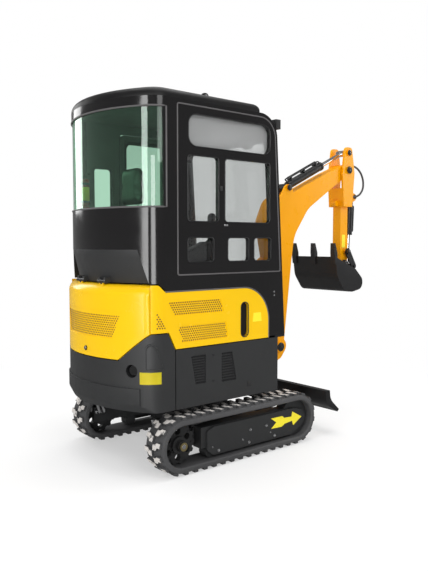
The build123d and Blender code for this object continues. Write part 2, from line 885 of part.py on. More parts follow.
def boom():
    shape = [
        (702, 600),
        (692, 1255, 200),
        (632, 1530, 110),
        (715, 1708, 110),
        (951, 1770, 200),
        (1330, 1938, 200),
        (1552, 2024),
        (1588, 1935),
        (1427, 1846, 200),
        (1106, 1646, 250),
        (949, 1431, 250),
        (920, 1243, 300),
        (842, 600),
    ]
    body = side_prism(shape, -boom_half_width, boom_half_width)
    body += pin_x(foot_pin, 72, -boom_half_width, boom_half_width)
    body += pin_x(foot_pin, 45, -boom_half_width - seam + 0.5, boom_half_width + seam - 0.5)
    body += pin_x(stick_pin, 48, -boom_half_width, boom_half_width)
    body += pin_x(stick_pin, 40, -fork_inner + 0.5, fork_inner - 0.5)
    body -= pin_x(foot_pin, pin_radius + pin_fit, -100, 100)
    body -= pin_x(stick_pin, pin_radius + pin_fit, -100, 100)
    rear_ear = [
        (730, boom_rod_pin[1] - 90),
        (boom_rod_pin[0] - 8, boom_rod_pin[1] - 34, 30),
        (boom_rod_pin[0] - 34, boom_rod_pin[1] + 14, 25),
        (boom_rod_pin[0] + 10, boom_rod_pin[1] + 40, 30),
        (730, boom_rod_pin[1] + 90),
    ]
    top_ear = [
        (stick_base_pin[0] - 90, 1715),
        (stick_base_pin[0] - 34, stick_base_pin[1] + 8, 25),
        (stick_base_pin[0] + 4, stick_base_pin[1] + 36, 28),
        (stick_base_pin[0] + 38, stick_base_pin[1] - 6, 25),
        (stick_base_pin[0] + 70, 1740),
    ]
    for x in (boom_half_width - 18, -boom_half_width):
        body += side_prism(rear_ear, x, x + 18)
        body += side_prism(top_ear, x, x + 18)
    body += pin_x(boom_rod_pin, 24, boom_half_width, boom_half_width + 10)
    body += pin_x(boom_rod_pin, 24, -boom_half_width - 10, -boom_half_width)
    body += pin_x(stick_base_pin, pin_radius, -boom_half_width - 10, boom_half_width + 10)
    return body


stick_box_top = 1830.0
stick_collar = 1678.0


def stick():
    y = bucket_pin[0]
    lower = [
        (y - 45, stick_collar + 20),
        (y - 45, rocker_pin[1] + 60),
        (bucket_pin[0] - 40, bucket_pin[1], 20),
        (bucket_pin[0], bucket_pin[1] - 40, 28),
        (bucket_pin[0] + 40, bucket_pin[1], 20),
        (y + 45, rocker_pin[1] - 10),
        (y + 45, stick_collar + 20),
    ]
    body = side_prism(lower, -stick_half_width, stick_half_width)
    middle = [
        (y - 52, stick_collar),
        (y - 62, stick_box_top),
        (y + 68, stick_box_top),
        (y + 56, stick_collar),
    ]
    body += side_prism(middle, -fork_inner, fork_inner)
    plate = [
        (y - 52, stick_collar),
        (y - 72, stick_pin[1] - 40, 80),
        (y - 40, stick_rod_pin[1] + 46, 34),
        (y + 44, stick_rod_pin[1] + 46, 30),
        (y + 82, stick_pin[1] - 20, 90),
        (y + 56, stick_collar),
    ]
    for x in (fork_inner, -fork_outer):
        body += side_prism(plate, x, x + fork_outer - fork_inner)
    body += pin_x(stick_pin, pin_radius, -fork_outer - 10, fork_outer + 10)
    body += pin_x(stick_rod_pin, 24, fork_outer, fork_outer + 10)
    body += pin_x(stick_rod_pin, 24, -fork_outer - 10, -fork_outer)
    lug = [
        (y + 50, bucket_base_pin[1] - 70),
        (bucket_base_pin[0] + 20, bucket_base_pin[1] - 26, 20),
        (bucket_base_pin[0] + 30, bucket_base_pin[1] + 20, 26),
        (bucket_base_pin[0] - 20, bucket_base_pin[1] + 34, 26),
        (y + 50, bucket_base_pin[1] + 70),
    ]
    for x in (30, -46):
        body += side_prism(lug, x, x + 16)
    body += pin_x((y - 76, stick_collar + 26), 24, -28, 28)
    body += pin_x(bucket_base_pin, 13, -54, 54)
    body += pin_x(rocker_pin, 14, -82, 82)
    body += pin_x(bucket_pin, 16, -66, 66)
    return body


def stick_hose(arm):
    """Hose that loops from the right fork plate back to the plate's lower front."""
    x = (fork_inner + fork_outer) / 2
    bends = []
    for before, at, after in zip(hose_route, hose_route[1:], hose_route[2:]):
        heading = math.atan2(at[1] - before[1], at[0] - before[0])
        turn = math.remainder(math.atan2(after[1] - at[1], after[0] - at[0]) - heading, 2 * math.pi)
        run = min(distance(before, at), distance(at, after))
        bends.append(0.45 * run / math.tan(abs(turn) / 2))
    path = FilletPolyline(*[(x, y, z) for y, z in hose_route], radius=bends)
    section = Plane(origin=path @ 0, z_dir=path % 0) * Circle(hose_radius)
    return sweep(section, path=path) - arm


ear_inner = 45.0
ear_outer = 58.0
rocker_inner = 63.0
rocker_outer = 75.0
link_inner = 26.0
link_outer = 41.0


def rocker():
    body = strap(rocker_pin, rod_pin, 30, 26, rocker_inner, rocker_outer)
    body -= pin_x(rocker_pin, 14 + pin_fit, rocker_inner - 1, rocker_outer + 1)
    body += pin_x(rod_pin, 12, link_inner, rocker_outer + 8)
    return body


def bucket_link():
    body = strap(rod_pin, link_pin, 21, 21, link_inner, link_outer)
    body += strap(rod_pin, link_pin, 21, 21, -link_outer, -link_inner)
    body -= pin_x(rod_pin, 12 + pin_fit, -100, 100)
    body += pin_x(link_pin, 18, -ear_inner + 1, ear_inner - 1)
    return body


def bucket():
    lip = (1237.0, 1268.0)
    shell_line = [
        lip,
        (1262, 1110, 120),
        (1352, 990, 70),
        (1450, 982, 120),
        (1600, 1010, 60),
        (1570, 1092),
        (1490, 1165),
    ]
    solid = side_prism(shell_line, -bucket_half_width, bucket_half_width)
    t = bucket_plate
    hollow_line = [
        (lip[0] + t, lip[1] + 60),
        (lip[0] + t + 1, lip[1]),
        (1262 + t, 1112, 108),
        (1352 + t * 0.6, 990 + t, 60),
        (1450, 982 + t, 108),
        (1600 - t * 1.6, 1010 + t * 0.9, 48),
        (1570 - t, 1092 - t * 0.7),
        (1490 - t * 0.6, 1165 - t * 0.8),
        (1478, 1240),
    ]
    solid -= side_prism(hollow_line, -bucket_half_width + t, bucket_half_width - t)
    web = [
        (1497, 1154),
        (bucket_pin[0] - 24, bucket_pin[1] - 10),
        (link_pin[0] - 8, link_pin[1] + 4),
        (1596, 1036),
        (1567, 1089),
    ]
    for x in (ear_inner, -ear_outer):
        solid += side_prism(web, x, x + ear_outer - ear_inner)
        solid += strap(bucket_pin, link_pin, 32, 22, x, x + ear_outer - ear_inner)
    solid -= pin_x(bucket_pin, 16 + pin_fit, -100, 100)
    tooth = [
        (lip[0] - 2, lip[1] - 60),
        (lip[0] - 14, lip[1] + 30),
        (lip[0] - 12, lip[1] + 107),
        (lip[0] - 4, lip[1] + 107),
        (lip[0] + 22, lip[1] + 30),
        (lip[0] + 26, lip[1] - 60),
    ]
    for x in (-bucket_half_width + 22, 0, bucket_half_width - 22):
        solid += side_prism(tooth, x - 22, x + 22)
    return solid


# Cylinders: barrel length, rod start and radii along each pair of pins
boom_barrel_end = 430.0
stick_barrel_end = 470.0
bucket_barrel_end = 318.0
blade_barrel_end = 250.0

right_track = track()
save(right_track, "track_right")
save(mirrored(right_track), "track_left")
right_beam = track_beam()
save(right_beam, "track_beam_right")
save(mirrored(right_beam), "track_beam_left")
right_sprocket = sprocket()
save(right_sprocket, "sprocket_right")
save(mirrored(right_sprocket), "sprocket_left")
save(lower_frame(), "lower_frame")
save(slew_ring(), "slew_ring")
save(blade(), "blade")
save(barrel(blade_base_pin, blade_rod_pin, 28, 40, blade_barrel_end, 14, 25, 12), "blade_cylinder_barrel")
save(rod(blade_base_pin, blade_rod_pin, 14, 130, 22, 22), "blade_cylinder_rod")

save(deck(), "deck")
save(counterweight(), "counterweight")
right_skirt = side_skirt()
save(right_skirt, "side_skirt_right")
save(mirrored(right_skirt), "side_skirt_left")
right_cover = side_cover(cover_front, cover_corner, cover_fields) - side_field(grip_slot, grip_depth)
save(right_cover, "side_cover_right")
save(mirrored(side_cover(door_rear - 36, 20, left_fields)), "side_cover_left")
save(hood(), "hood")
save(engine(), "engine")

save(cab_floor(), "cab_floor")
save(seat_cushion(), "seat_cushion")
save(seat_back(), "seat_back")
save(cab_right(), "cab_right")
save(cab_left(), "cab_left")
save(cab_rear(), "cab_rear")
save(cab_front(), "cab_front")
save(cab_roof(), "cab_roof")
save(door(), "door")
save(door_glass(), "door_glass")
save(right_glass(), "right_glass")
save(rear_glass(), "rear_glass")
save(windscreen(), "windscreen")
save(work_light(), "work_light")

save(boom_bracket(), "boom_bracket")
save(boom(), "boom")
boom_barrel = barrel(boom_base_pin, boom_rod_pin, 32, 45, boom_barrel_end, 17, 34, pin_radius)
save(boom_barrel, "boom_cylinder_barrel")
save(rod(boom_base_pin, boom_rod_pin, 17, 240, 26, 32), "boom_cylinder_rod")
arm = stick()
save(arm, "stick")
right_hose = stick_hose(arm)
save(Compound([right_hose, mirrored(right_hose)]), "stick_hoses")
stick_barrel = barrel(stick_base_pin, stick_rod_pin, 32, 45, stick_barrel_end, 17, 34, pin_radius)
save(stick_barrel, "stick_cylinder_barrel")
save(rod(stick_base_pin, stick_rod_pin, 17, 330, 26, 34), "stick_cylinder_rod")
save(barrel(bucket_base_pin, rod_pin, 28, 40, bucket_barrel_end, 14, 25, 13), "bucket_cylinder_barrel")
save(rod(bucket_base_pin, rod_pin, 14, 288, 24, 22), "bucket_cylinder_rod")
right_rocker = rocker()
save(right_rocker, "rocker_right")
save(mirrored(right_rocker), "rocker_left")
save(bucket_link(), "bucket_link")
save(bucket(), "bucket")
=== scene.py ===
import math
import bmesh
import bpy
from mathutils import Matrix, Vector


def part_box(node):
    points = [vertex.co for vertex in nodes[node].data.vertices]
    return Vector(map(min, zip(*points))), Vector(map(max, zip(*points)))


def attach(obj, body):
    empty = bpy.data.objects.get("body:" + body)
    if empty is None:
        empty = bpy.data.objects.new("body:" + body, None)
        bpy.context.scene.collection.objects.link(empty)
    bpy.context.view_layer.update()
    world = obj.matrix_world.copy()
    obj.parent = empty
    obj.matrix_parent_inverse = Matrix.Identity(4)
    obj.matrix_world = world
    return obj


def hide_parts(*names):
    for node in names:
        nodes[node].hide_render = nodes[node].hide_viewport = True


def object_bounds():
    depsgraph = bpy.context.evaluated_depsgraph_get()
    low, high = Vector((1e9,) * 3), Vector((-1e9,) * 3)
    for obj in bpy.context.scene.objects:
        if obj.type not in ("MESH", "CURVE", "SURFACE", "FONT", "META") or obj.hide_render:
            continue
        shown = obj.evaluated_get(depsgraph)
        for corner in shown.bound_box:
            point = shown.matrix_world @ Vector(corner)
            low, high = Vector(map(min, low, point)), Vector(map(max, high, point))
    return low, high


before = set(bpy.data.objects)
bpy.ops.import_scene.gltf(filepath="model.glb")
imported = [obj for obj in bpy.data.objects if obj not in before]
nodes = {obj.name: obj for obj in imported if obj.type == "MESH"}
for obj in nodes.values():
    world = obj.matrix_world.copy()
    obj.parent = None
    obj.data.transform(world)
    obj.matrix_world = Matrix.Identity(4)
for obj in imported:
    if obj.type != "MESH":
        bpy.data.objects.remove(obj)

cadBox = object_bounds()
mm = 0.001  # lengths below are in millimetres, as in the part's source

# Colours are linear
look = {
    "yellow": (0.93, 0.56, 0.0),
    "amber": (0.94, 0.385, 0.0),
    "glossBlack": (0.009, 0.0085, 0.009),
    "darkPanel": (0.028, 0.029, 0.030),
    "blackPaint": (0.011, 0.011, 0.012),
    "rubber": (0.080, 0.080, 0.083),
    "lugTop": (0.62, 0.59, 0.56),
    "sealGrey": (0.115, 0.110, 0.112),
    "decalYellow": (1.0, 0.85, 0.02),
    # Painted shade: the brown of the grille discs stands for the shaded yellow inside the holes
    "holeShadeBrown": (0.22, 0.072, 0.0),
    "sideGlass": (0.72, 0.735, 0.73),
    "rearGlass": (0.42, 0.70, 0.52),
    # Painted reflection: the share and pale colour that the right side's top pane takes on, standing for
    # bright sky mirrored in it
    "paneReflectionShare": 0.30,
    "paintedReflection": (0.80, 0.81, 0.81),
    "bottleRed": (0.42, 0.03, 0.012),
}


def nodeTree(name):
    mat = bpy.data.materials.new(name)
    mat.use_nodes = True
    tree = mat.node_tree
    shader = tree.nodes["Principled BSDF"]
    coords = tree.nodes.new("ShaderNodeTexCoord")
    return mat, tree, shader, coords


def addNoise(tree, coords, scale, detail):
    noise = tree.nodes.new("ShaderNodeTexNoise")
    noise.inputs["Scale"].default_value = scale
    noise.inputs["Detail"].default_value = detail
    tree.links.new(coords.outputs["Object"], noise.inputs["Vector"])
    return noise.outputs["Fac"]


def addRange(tree, value, low, high, fromLow=0.3, fromHigh=0.7):
    ranged = tree.nodes.new("ShaderNodeMapRange")
    ranged.inputs["From Min"].default_value = fromLow
    ranged.inputs["From Max"].default_value = fromHigh
    ranged.inputs["To Min"].default_value = low
    ranged.inputs["To Max"].default_value = high
    tree.links.new(value, ranged.inputs["Value"])
    return ranged.outputs["Result"]


def addMix(tree, factor, first, second):
    mix = tree.nodes.new("ShaderNodeMix")
    mix.data_type = "RGBA"
    tree.links.new(factor, mix.inputs["Factor"])
    for socket, value in ((mix.inputs["A"], first), (mix.inputs["B"], second)):
        if isinstance(value, tuple):
            socket.default_value = (*value, 1.0)
        else:
            tree.links.new(value, socket)
    return mix.outputs["Result"]


def addBump(tree, height, strength, reach):
    bump = tree.nodes.new("ShaderNodeBump")
    bump.inputs["Strength"].default_value = strength
    bump.inputs["Distance"].default_value = reach
    tree.links.new(height, bump.inputs["Height"])
    return bump.outputs["Normal"]


# Noise scale and detail of the cloudy colour, the cloudy gloss and the fine grain
paintNoise = {"tone": (2.4, 4.0), "gloss": (14.0, 5.0), "grainDetail": 2.0}


def surface(name, color, rough, spread, tone, grain, bump, reach, metal=0.0, coat=0.0, coatRough=0.08,
            level=0.5):
    mat, tree, shader, coords = nodeTree(name)
    clouds = addRange(tree, addNoise(tree, coords, *paintNoise["tone"]), 0.0, 1.0)
    dark = tuple(c * (1.0 - tone) for c in color)
    tree.links.new(addMix(tree, clouds, color, dark), shader.inputs["Base Color"])
    patches = addNoise(tree, coords, *paintNoise["gloss"])
    tree.links.new(addRange(tree, patches, rough, rough + spread), shader.inputs["Roughness"])
    fine = addNoise(tree, coords, grain, paintNoise["grainDetail"])
    tree.links.new(addBump(tree, fine, bump, reach), shader.inputs["Normal"])
    shader.inputs["Metallic"].default_value = metal
    shader.inputs["Coat Weight"].default_value = coat
    shader.inputs["Coat Roughness"].default_value = coatRough
    shader.inputs["Specular IOR Level"].default_value = level
    return mat


glassLook = {"ior": 1.45, "streak": (3.0, 2.0), "deeper": 0.95, "reflectionFrom": 1.915, "reflectionRise": 0.02}


# Clear glass; given a share, it grows pale from the height set in glassLook, in metres, and that pale is a
# painted reflection of the bright sky
def glassSurface(name, color, paintedReflection=0.0):
    mat, tree, shader, coords = nodeTree(name)
    streak = addNoise(tree, coords, *glassLook["streak"])
    tint = addMix(tree, streak, color, tuple(c * glassLook["deeper"] for c in color))
    shader.inputs["Roughness"].default_value = 0.0
    shader.inputs["IOR"].default_value = glassLook["ior"]
    shader.inputs["Transmission Weight"].default_value = 1.0
    if paintedReflection:
        axes = tree.nodes.new("ShaderNodeSeparateXYZ")
        tree.links.new(coords.outputs["Object"], axes.inputs[0])
        low, high = glassLook["reflectionFrom"], glassLook["reflectionFrom"] + glassLook["reflectionRise"]
        clear = addRange(tree, axes.outputs["Z"], 1.0, 1.0 - paintedReflection, low, high)
        tree.links.new(clear, shader.inputs["Transmission Weight"])
        tint = addMix(tree, addRange(tree, axes.outputs["Z"], 0.0, 1.0, low, high), tint, look["paintedReflection"])
    tree.links.new(tint, shader.inputs["Base Color"])
    return mat


lugWear = {"spots": (45.0, 6.0), "worn": (0.56, 0.70), "grain": (500.0, 3.0), "bump": (0.35, 0.0008),
           "rough": 0.8, "level": 0.3}


# Pale, dusty lug tops with the dark rubber worn through
def lugSurface(name):
    mat, tree, shader, coords = nodeTree(name)
    worn = addRange(tree, addNoise(tree, coords, *lugWear["spots"]), 0.0, 1.0, *lugWear["worn"])
    tree.links.new(addMix(tree, worn, look["lugTop"], look["rubber"]), shader.inputs["Base Color"])
    fine = addNoise(tree, coords, *lugWear["grain"])
    tree.links.new(addBump(tree, fine, *lugWear["bump"]), shader.inputs["Normal"])
    shader.inputs["Roughness"].default_value = lugWear["rough"]
    shader.inputs["Specular IOR Level"].default_value = lugWear["level"]
    return mat


# After the colour: roughness and its spread, darker share, scale of the grain, bump strength and reach
paints = {
    "yellow": surface("yellowPaint", look["yellow"], 0.22, 0.06, 0.05, 220.0, 0.05, 0.0004, level=0.3,
                      coat=0.06),
    "amber": surface("amberPaint", look["amber"], 0.26, 0.08, 0.06, 220.0, 0.06, 0.0004, level=0.2),
    "gloss": surface("glossBlack", look["glossBlack"], 0.11, 0.05, 0.2, 260.0, 0.03, 0.0003),
    "roof": surface("roofBlack", look["glossBlack"], 0.38, 0.12, 0.2, 260.0, 0.06, 0.0004, level=0.25),
    "panel": surface("darkPanel", look["darkPanel"], 0.42, 0.12, 0.15, 900.0, 0.22, 0.0005),
    "black": surface("blackPaint", look["blackPaint"], 0.34, 0.14, 0.25, 500.0, 0.15, 0.0005),
    "rubber": surface("trackRubber", look["rubber"], 0.62, 0.18, 0.3, 350.0, 0.4, 0.001, level=0.4),
    "lugTop": lugSurface("lugTop"),
    "seal": surface("sealRubber", look["sealGrey"], 0.5, 0.15, 0.2, 500.0, 0.2, 0.0005, level=0.4),
    "iron": surface("castIron", (0.022, 0.022, 0.023), 0.5, 0.2, 0.3, 600.0, 0.45, 0.0008),
    "steel": surface("brightSteel", (0.66, 0.66, 0.67), 0.22, 0.12, 0.15, 300.0, 0.2, 0.0004, metal=1.0),
    "brass": surface("zincYellow", (0.62, 0.50, 0.24), 0.28, 0.12, 0.2, 300.0, 0.2, 0.0004, metal=1.0),
    "chrome": surface("rodChrome", (0.80, 0.80, 0.81), 0.08, 0.06, 0.08, 260.0, 0.05, 0.0002, metal=1.0),
    "vinyl": surface("seatVinyl", (0.035, 0.035, 0.036), 0.40, 0.14, 0.2, 520.0, 0.4, 0.0009, coat=0.5,
                     coatRough=0.15),
    "liner": surface("cabLiner", (0.12, 0.12, 0.122), 0.6, 0.15, 0.15, 600.0, 0.3, 0.0006, level=0.3),
    "plastic": surface("lampPlastic", (0.014, 0.014, 0.015), 0.5, 0.12, 0.2, 700.0, 0.3, 0.0006),
    # Painted shade for the grille holes
    "holeShade": surface("paintedHoleShade", look["holeShadeBrown"], 0.6, 0.1, 0.2, 300.0, 0.1, 0.0003),
    # Painted shade: near-black for the insides of the grip slot, the exhaust pipe and the key slot
    "void": surface("paintedShadeBlack", (0.003, 0.003, 0.003), 0.7, 0.1, 0.2, 300.0, 0.1, 0.0003),
    "decal": surface("decalYellow", look["decalYellow"], 0.35, 0.08, 0.05, 300.0, 0.05, 0.0003),
    "lens": glassSurface("lampLens", (0.92, 0.93, 0.94)),
    "glass": glassSurface("sideGlass", look["sideGlass"]),
    # Glass with a painted reflection on its top pane
    "paintedReflectionGlass": glassSurface("paintedReflectionGlass", look["sideGlass"], look["paneReflectionShare"]),
    "red": surface("bottleRed", look["bottleRed"], 0.25, 0.1, 0.1, 300.0, 0.05, 0.0003),
    "rearGlass": glassSurface("rearGlass", look["rearGlass"]),
}

nodePaint = {
    "yellow": "hood side_cover_left side_cover_right",
    "amber": "boom stick boom_bracket",
    "gloss": "cab_right cab_left cab_front door cab_rear",
    "roof": "cab_roof",
    "panel": "counterweight side_skirt_left side_skirt_right track_beam_left track_beam_right",
    "black": "lower_frame blade bucket bucket_link rocker_left rocker_right deck cab_floor "
             "boom_cylinder_barrel stick_cylinder_barrel bucket_cylinder_barrel blade_cylinder_barrel",
    "rubber": "track_left track_right stick_hoses",
    "iron": "sprocket_left sprocket_right engine slew_ring",
    "chrome": "boom_cylinder_rod stick_cylinder_rod bucket_cylinder_rod blade_cylinder_rod",
    "vinyl": "seat_cushion seat_back",
    "plastic": "work_light",
    "glass": "door_glass windscreen",
    "paintedReflectionGlass": "right_glass",
    "rearGlass": "rear_glass",
}


def paintNodes():
    for paint, names in nodePaint.items():
        for name in names.split():
            mesh = nodes[name].data
            mesh.materials.clear()
            mesh.materials.append(paints[paint])


# Sheet covers and castings have wide soft edges, cut plates and barrels narrow ones
softEdge = {
    2.5: "hood side_cover_left side_cover_right counterweight side_skirt_left side_skirt_right cab_rear boom "
         "stick boom_bracket",
    1.5: "track_beam_left track_beam_right blade bucket bucket_link rocker_left rocker_right work_light "
         "boom_cylinder_barrel stick_cylinder_barrel bucket_cylinder_barrel sprocket_left sprocket_right "
         "lower_frame",
}
edgeFinish = {"weld": 0.05, "steps": 2, "angle": 50, "weight": 100}


def softenNodes():
    for width, names in softEdge.items():
        for name in names.split():
            obj = nodes[name]
            weld = obj.modifiers.new("weld", "WELD")
            weld.merge_threshold = edgeFinish["weld"] * mm
            bevel = obj.modifiers.new("softEdge", "BEVEL")
            bevel.width = width * mm
            bevel.segments = edgeFinish["steps"]
            bevel.limit_method = "ANGLE"
            bevel.angle_limit = math.radians(edgeFinish["angle"])
            bevel.use_clamp_overlap = True
            weighted = obj.modifiers.new("evenNormals", "WEIGHTED_NORMAL")
            weighted.mode = "FACE_AREA"
            weighted.weight = edgeFinish["weight"]
            weighted.keep_sharp = False


# Faces with a second paint, by their place in metres
# Hood faces above this height, its hinges among them, are painted black: painted shade of the dark gap under
# the cab
hoodHingeShade = {"above": 1.1335}
cabLiner = {  # axis, inward direction along it, and where the wall's inner side begins
    "cab_left": (0, 1, -0.475), "door": (0, 1, -0.475), "cab_right": (0, -1, 0.475),
    "cab_roof": (2, -1, 2.26), "facing": 0.8,
}
lowPanel = {"below": 1.337, "half": 0.46, "behind": -0.62, "slope": -0.05, "foot": 1.18}


def paintFacesOf(name, paint, chosen):
    mesh = nodes[name].data
    mesh.materials.append(paints[paint])
    for face in mesh.polygons:
        face.material_index = 1 if chosen(face) else 0


def paintParts():
    def onLiner(face):
        inner = face.center[axis] * way > depth * way
        return inner and face.normal[axis] * way > cabLiner["facing"]

    def onLowPanel(face):
        place = face.center
        low = place.z < lowPanel["below"] and abs(place.x) < lowPanel["half"] and place.y < lowPanel["behind"]
        return low and (face.normal.z < lowPanel["slope"] or place.z < lowPanel["foot"])

    # Painted shade: the hood's top faces go black
    paintFacesOf("hood", "black", lambda face: face.center.z > hoodHingeShade["above"])
    for name in ("cab_left", "door", "cab_right", "cab_roof"):
        axis, way, depth = cabLiner[name]
        paintFacesOf(name, "liner", onLiner)
    paintFacesOf("cab_rear", "panel", onLowPanel)


sides = ((1, "Right"), (-1, "Left"))
planeOrder = {"yz": (2, 0, 1), "xz": (0, 2, 1)}


def turnTo(direction):
    return Vector(direction).to_track_quat("Z", "Y").to_matrix().to_4x4()


def onlyVerts(geom):
    return [g for g in geom if isinstance(g, bmesh.types.BMVert)]


def soften(bm, edges, width, steps=2):
    bmesh.ops.bevel(bm, geom=list(edges), offset=width * mm, offset_type="OFFSET", segments=steps,
                    profile=0.5, affect="EDGES", material=-1)


def paintFaces(faces, mat):
    for face in faces:
        face.material_index = mat


# One finished piece: normals, materials, smooth shading and the body it rides on
def makePiece(name, bm, finish, body, angle=35):
    bmesh.ops.recalc_face_normals(bm, faces=bm.faces)
    mesh = bpy.data.meshes.new(name)
    bm.to_mesh(mesh)
    bm.free()
    for key in finish.split():
        mesh.materials.append(paints[key])
    for face in mesh.polygons:
        face.use_smooth = True
    mesh.set_sharp_from_angle(angle=math.radians(angle))
    obj = bpy.data.objects.new(name, mesh)
    bpy.context.scene.collection.objects.link(obj)
    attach(obj, body)
    return obj


# Corners (a, b, radius) of one face are bevelled round, and its line of points comes back
def roundLine(corners, steps=8):
    bm = bmesh.new()
    verts = [bm.verts.new((corner[0], corner[1], 0.0)) for corner in corners]
    bm.faces.new(verts)
    for i, corner in enumerate(corners):
        if len(corner) < 3:
            continue
        here = Vector(corner[:2])
        before = Vector(corners[i - 1][:2]) - here
        after = Vector(corners[(i + 1) % len(corners)][:2]) - here
        reach = corner[2] / math.tan(before.angle(after) / 2)
        bmesh.ops.bevel(bm, geom=[verts[i]], offset=reach, offset_type="OFFSET", segments=steps,
                        profile=0.5, affect="VERTICES", material=-1)
    bm.faces.ensure_lookup_table()
    line = [tuple(loop.vert.co.xy) for loop in bm.faces[0].loops]
    bm.free()
    first = min(range(len(line)), key=lambda i: (Vector(line[i]) - Vector(corners[0][:2])).length)
    return line[first:] + line[:first]


# A plate: its outline in one plane, extruded along the third axis
def addPlate(bm, corners, plane, start, end, soft=0.0, mat=0, steps=5):
    order = planeOrder[plane]
    line = roundLine(corners, steps) if any(len(corner) > 2 for corner in corners) else corners
    face = bm.faces.new([bm.verts.new([(a * mm, b * mm, start * mm)[i] for i in order]) for a, b in line])
    top = onlyVerts(bmesh.ops.extrude_face_region(bm, geom=[face])["geom"])
    bmesh.ops.translate(bm, verts=top, vec=[(0, 0, (end - start) * mm)[i] for i in order])
    faces = {f for vert in top for f in vert.link_faces} | {face}
    paintFaces(faces, mat)
    if soft:
        soften(bm, {e for f in faces for e in f.edges}, soft)


# A round bar, cone or hexagon between two points, its rims softened
def addRound(bm, start, end, radius, endRadius=None, count=24, soft=0.0, mat=0, steps=2):
    first, last = Vector(start) * mm, Vector(end) * mm
    place = Matrix.Translation((first + last) / 2) @ turnTo(last - first)
    made = bmesh.ops.create_cone(bm, cap_ends=True, cap_tris=False, segments=count, radius1=radius * mm,
                                 radius2=(radius if endRadius is None else endRadius) * mm,
                                 depth=(last - first).length, matrix=place)
    faces = {f for vert in made["verts"] for f in vert.link_faces}
    paintFaces(faces, mat)
    if soft:
        soften(bm, {e for f in faces if len(f.verts) == count for e in f.edges}, soft, steps)


# Start, end, radius, end radius, sides and softness, in shares of the bolt's size
boltShape = {
    "washer": (0.0, 0.18, 1.1, 1.1, 20, 0.06),
    "head": (0.18, 0.8, 0.8, 0.8, 6, 0.1),
    "dome": (0.8, 0.95, 0.4, 0.3, 12, 0.0),
}


# A bolt seated at a point
def addBolt(bm, at, normal, size, mat=0):
    at, normal = Vector(at), Vector(normal).normalized() * size
    for start, end, radius, tip, count, soft in boltShape.values():
        first, last = at + normal * start, at + normal * end
        addRound(bm, first, last, radius * size, tip * size, count, soft * size, mat)


# A bead of round section: a circle extruded from point to point
def addTube(bm, points, radius, count=10, closed=False, mat=0):
    spots = [Vector(p) * mm for p in points]
    aims = []
    for i in range(len(spots)):
        before = spots[i - 1] if closed or i else spots[i]
        after = spots[(i + 1) % len(spots)] if closed or i < len(spots) - 1 else spots[i]
        aims.append((after - before).normalized())
    ring = bmesh.ops.create_circle(bm, cap_ends=not closed, segments=count, radius=radius * mm,
                                   matrix=Matrix.Translation(spots[0]) @ turnTo(aims[0]))["verts"]
    firstEdges = edges = list({e for vert in ring for e in vert.link_edges})
    faces = {f for vert in ring for f in vert.link_faces}
    for i in range(1, len(spots)):
        made = bmesh.ops.extrude_edge_only(bm, edges=edges)["geom"]
        turn = aims[i - 1].rotation_difference(aims[i]).to_matrix().to_4x4()
        move = Matrix.Translation(spots[i]) @ turn @ Matrix.Translation(-spots[i - 1])
        bmesh.ops.transform(bm, matrix=move, verts=onlyVerts(made))
        edges = [g for g in made if isinstance(g, bmesh.types.BMEdge)]
        faces |= {g for g in made if isinstance(g, bmesh.types.BMFace)}
    if closed:
        faces |= set(bmesh.ops.bridge_loops(bm, edges=edges + firstEdges)["faces"])
    else:
        faces |= set(bmesh.ops.edgeloop_fill(bm, edges=edges)["faces"])
    paintFaces(faces, mat)


# House plan: a round tail, round corners and straight sides
housePlan = {"half": 500, "tail": 800, "tailY": -44, "corner": 130, "cabTail": 771}


# Place and outward normal on the house plan, s along it from the tail's middle
def houseLine(s, grow=0.0, tail=housePlan["tail"]):
    side = -1 if s < 0 else 1
    s = abs(s)
    corner = housePlan["corner"]
    cornerX = housePlan["half"] - corner
    drop = math.sqrt((tail - corner) ** 2 - cornerX ** 2)
    turn = math.atan2(cornerX, drop)
    tailRun = tail * turn
    cornerRun = corner * (math.pi / 2 - turn)
    if s >= tailRun + cornerRun:
        y = housePlan["tailY"] - drop + s - tailRun - cornerRun
        return side * (housePlan["half"] + grow), y, Vector((side, 0, 0))
    if s < tailRun:
        a, x, y, radius = s / tail, 0.0, housePlan["tailY"], tail + grow
    else:
        a, x, y, radius = turn + (s - tailRun) / corner, cornerX, housePlan["tailY"] - drop, corner + grow
    normal = Vector((side * math.sin(a), -math.cos(a), 0))
    return side * x + radius * normal.x, y + radius * normal.y, normal


# Place and outward normal on the round tail at a given x
def tailSpot(x, z, sink=0.0):
    reach = housePlan["tail"] - sink
    y = housePlan["tailY"] - math.sqrt(reach ** 2 - x ** 2)
    return Vector((x, y, z)), Vector((x, y - housePlan["tailY"], 0)).normalized()


trackShape = {
    "axleGap": 980, "axleHeight": 175, "middle": 460, "pitchRadius": 151, "steps": 160,
    "section": ((-82, 125), (-90, 132), (-90, 147), (-86, 155), (-78, 159), (78, 159), (86, 155), (90, 147),
                (90, 132), (82, 125)),
    "seam": 0.2, "lugs": 40, "lugFoot": 156, "lugTop": 175, "lugEdge": 3,
    "lug": ((-20, 3), (15, 3), (15, 26), (25, 40), (25, 77), (-3, 77), (-3, 52), (-20, 36)),
}


# The flat belt (x across, y along, z out) is laid round both wheels
def wrapBelt(along, out):
    straight, radius, height = trackShape["axleGap"], trackShape["pitchRadius"], trackShape["axleHeight"]
    half, bend = straight / 2, math.pi * radius
    s = along % (2 * (straight + bend))
    if s < straight:
        return s - half, height + out
    if s < straight + bend:
        a = math.pi / 2 - (s - straight) / radius
        return half + out * math.cos(a), height + out * math.sin(a)
    s -= straight + bend
    if s < straight:
        return half - s, height - out
    a = -math.pi / 2 - (s - straight) / radius
    return -half + out * math.cos(a), height + out * math.sin(a)


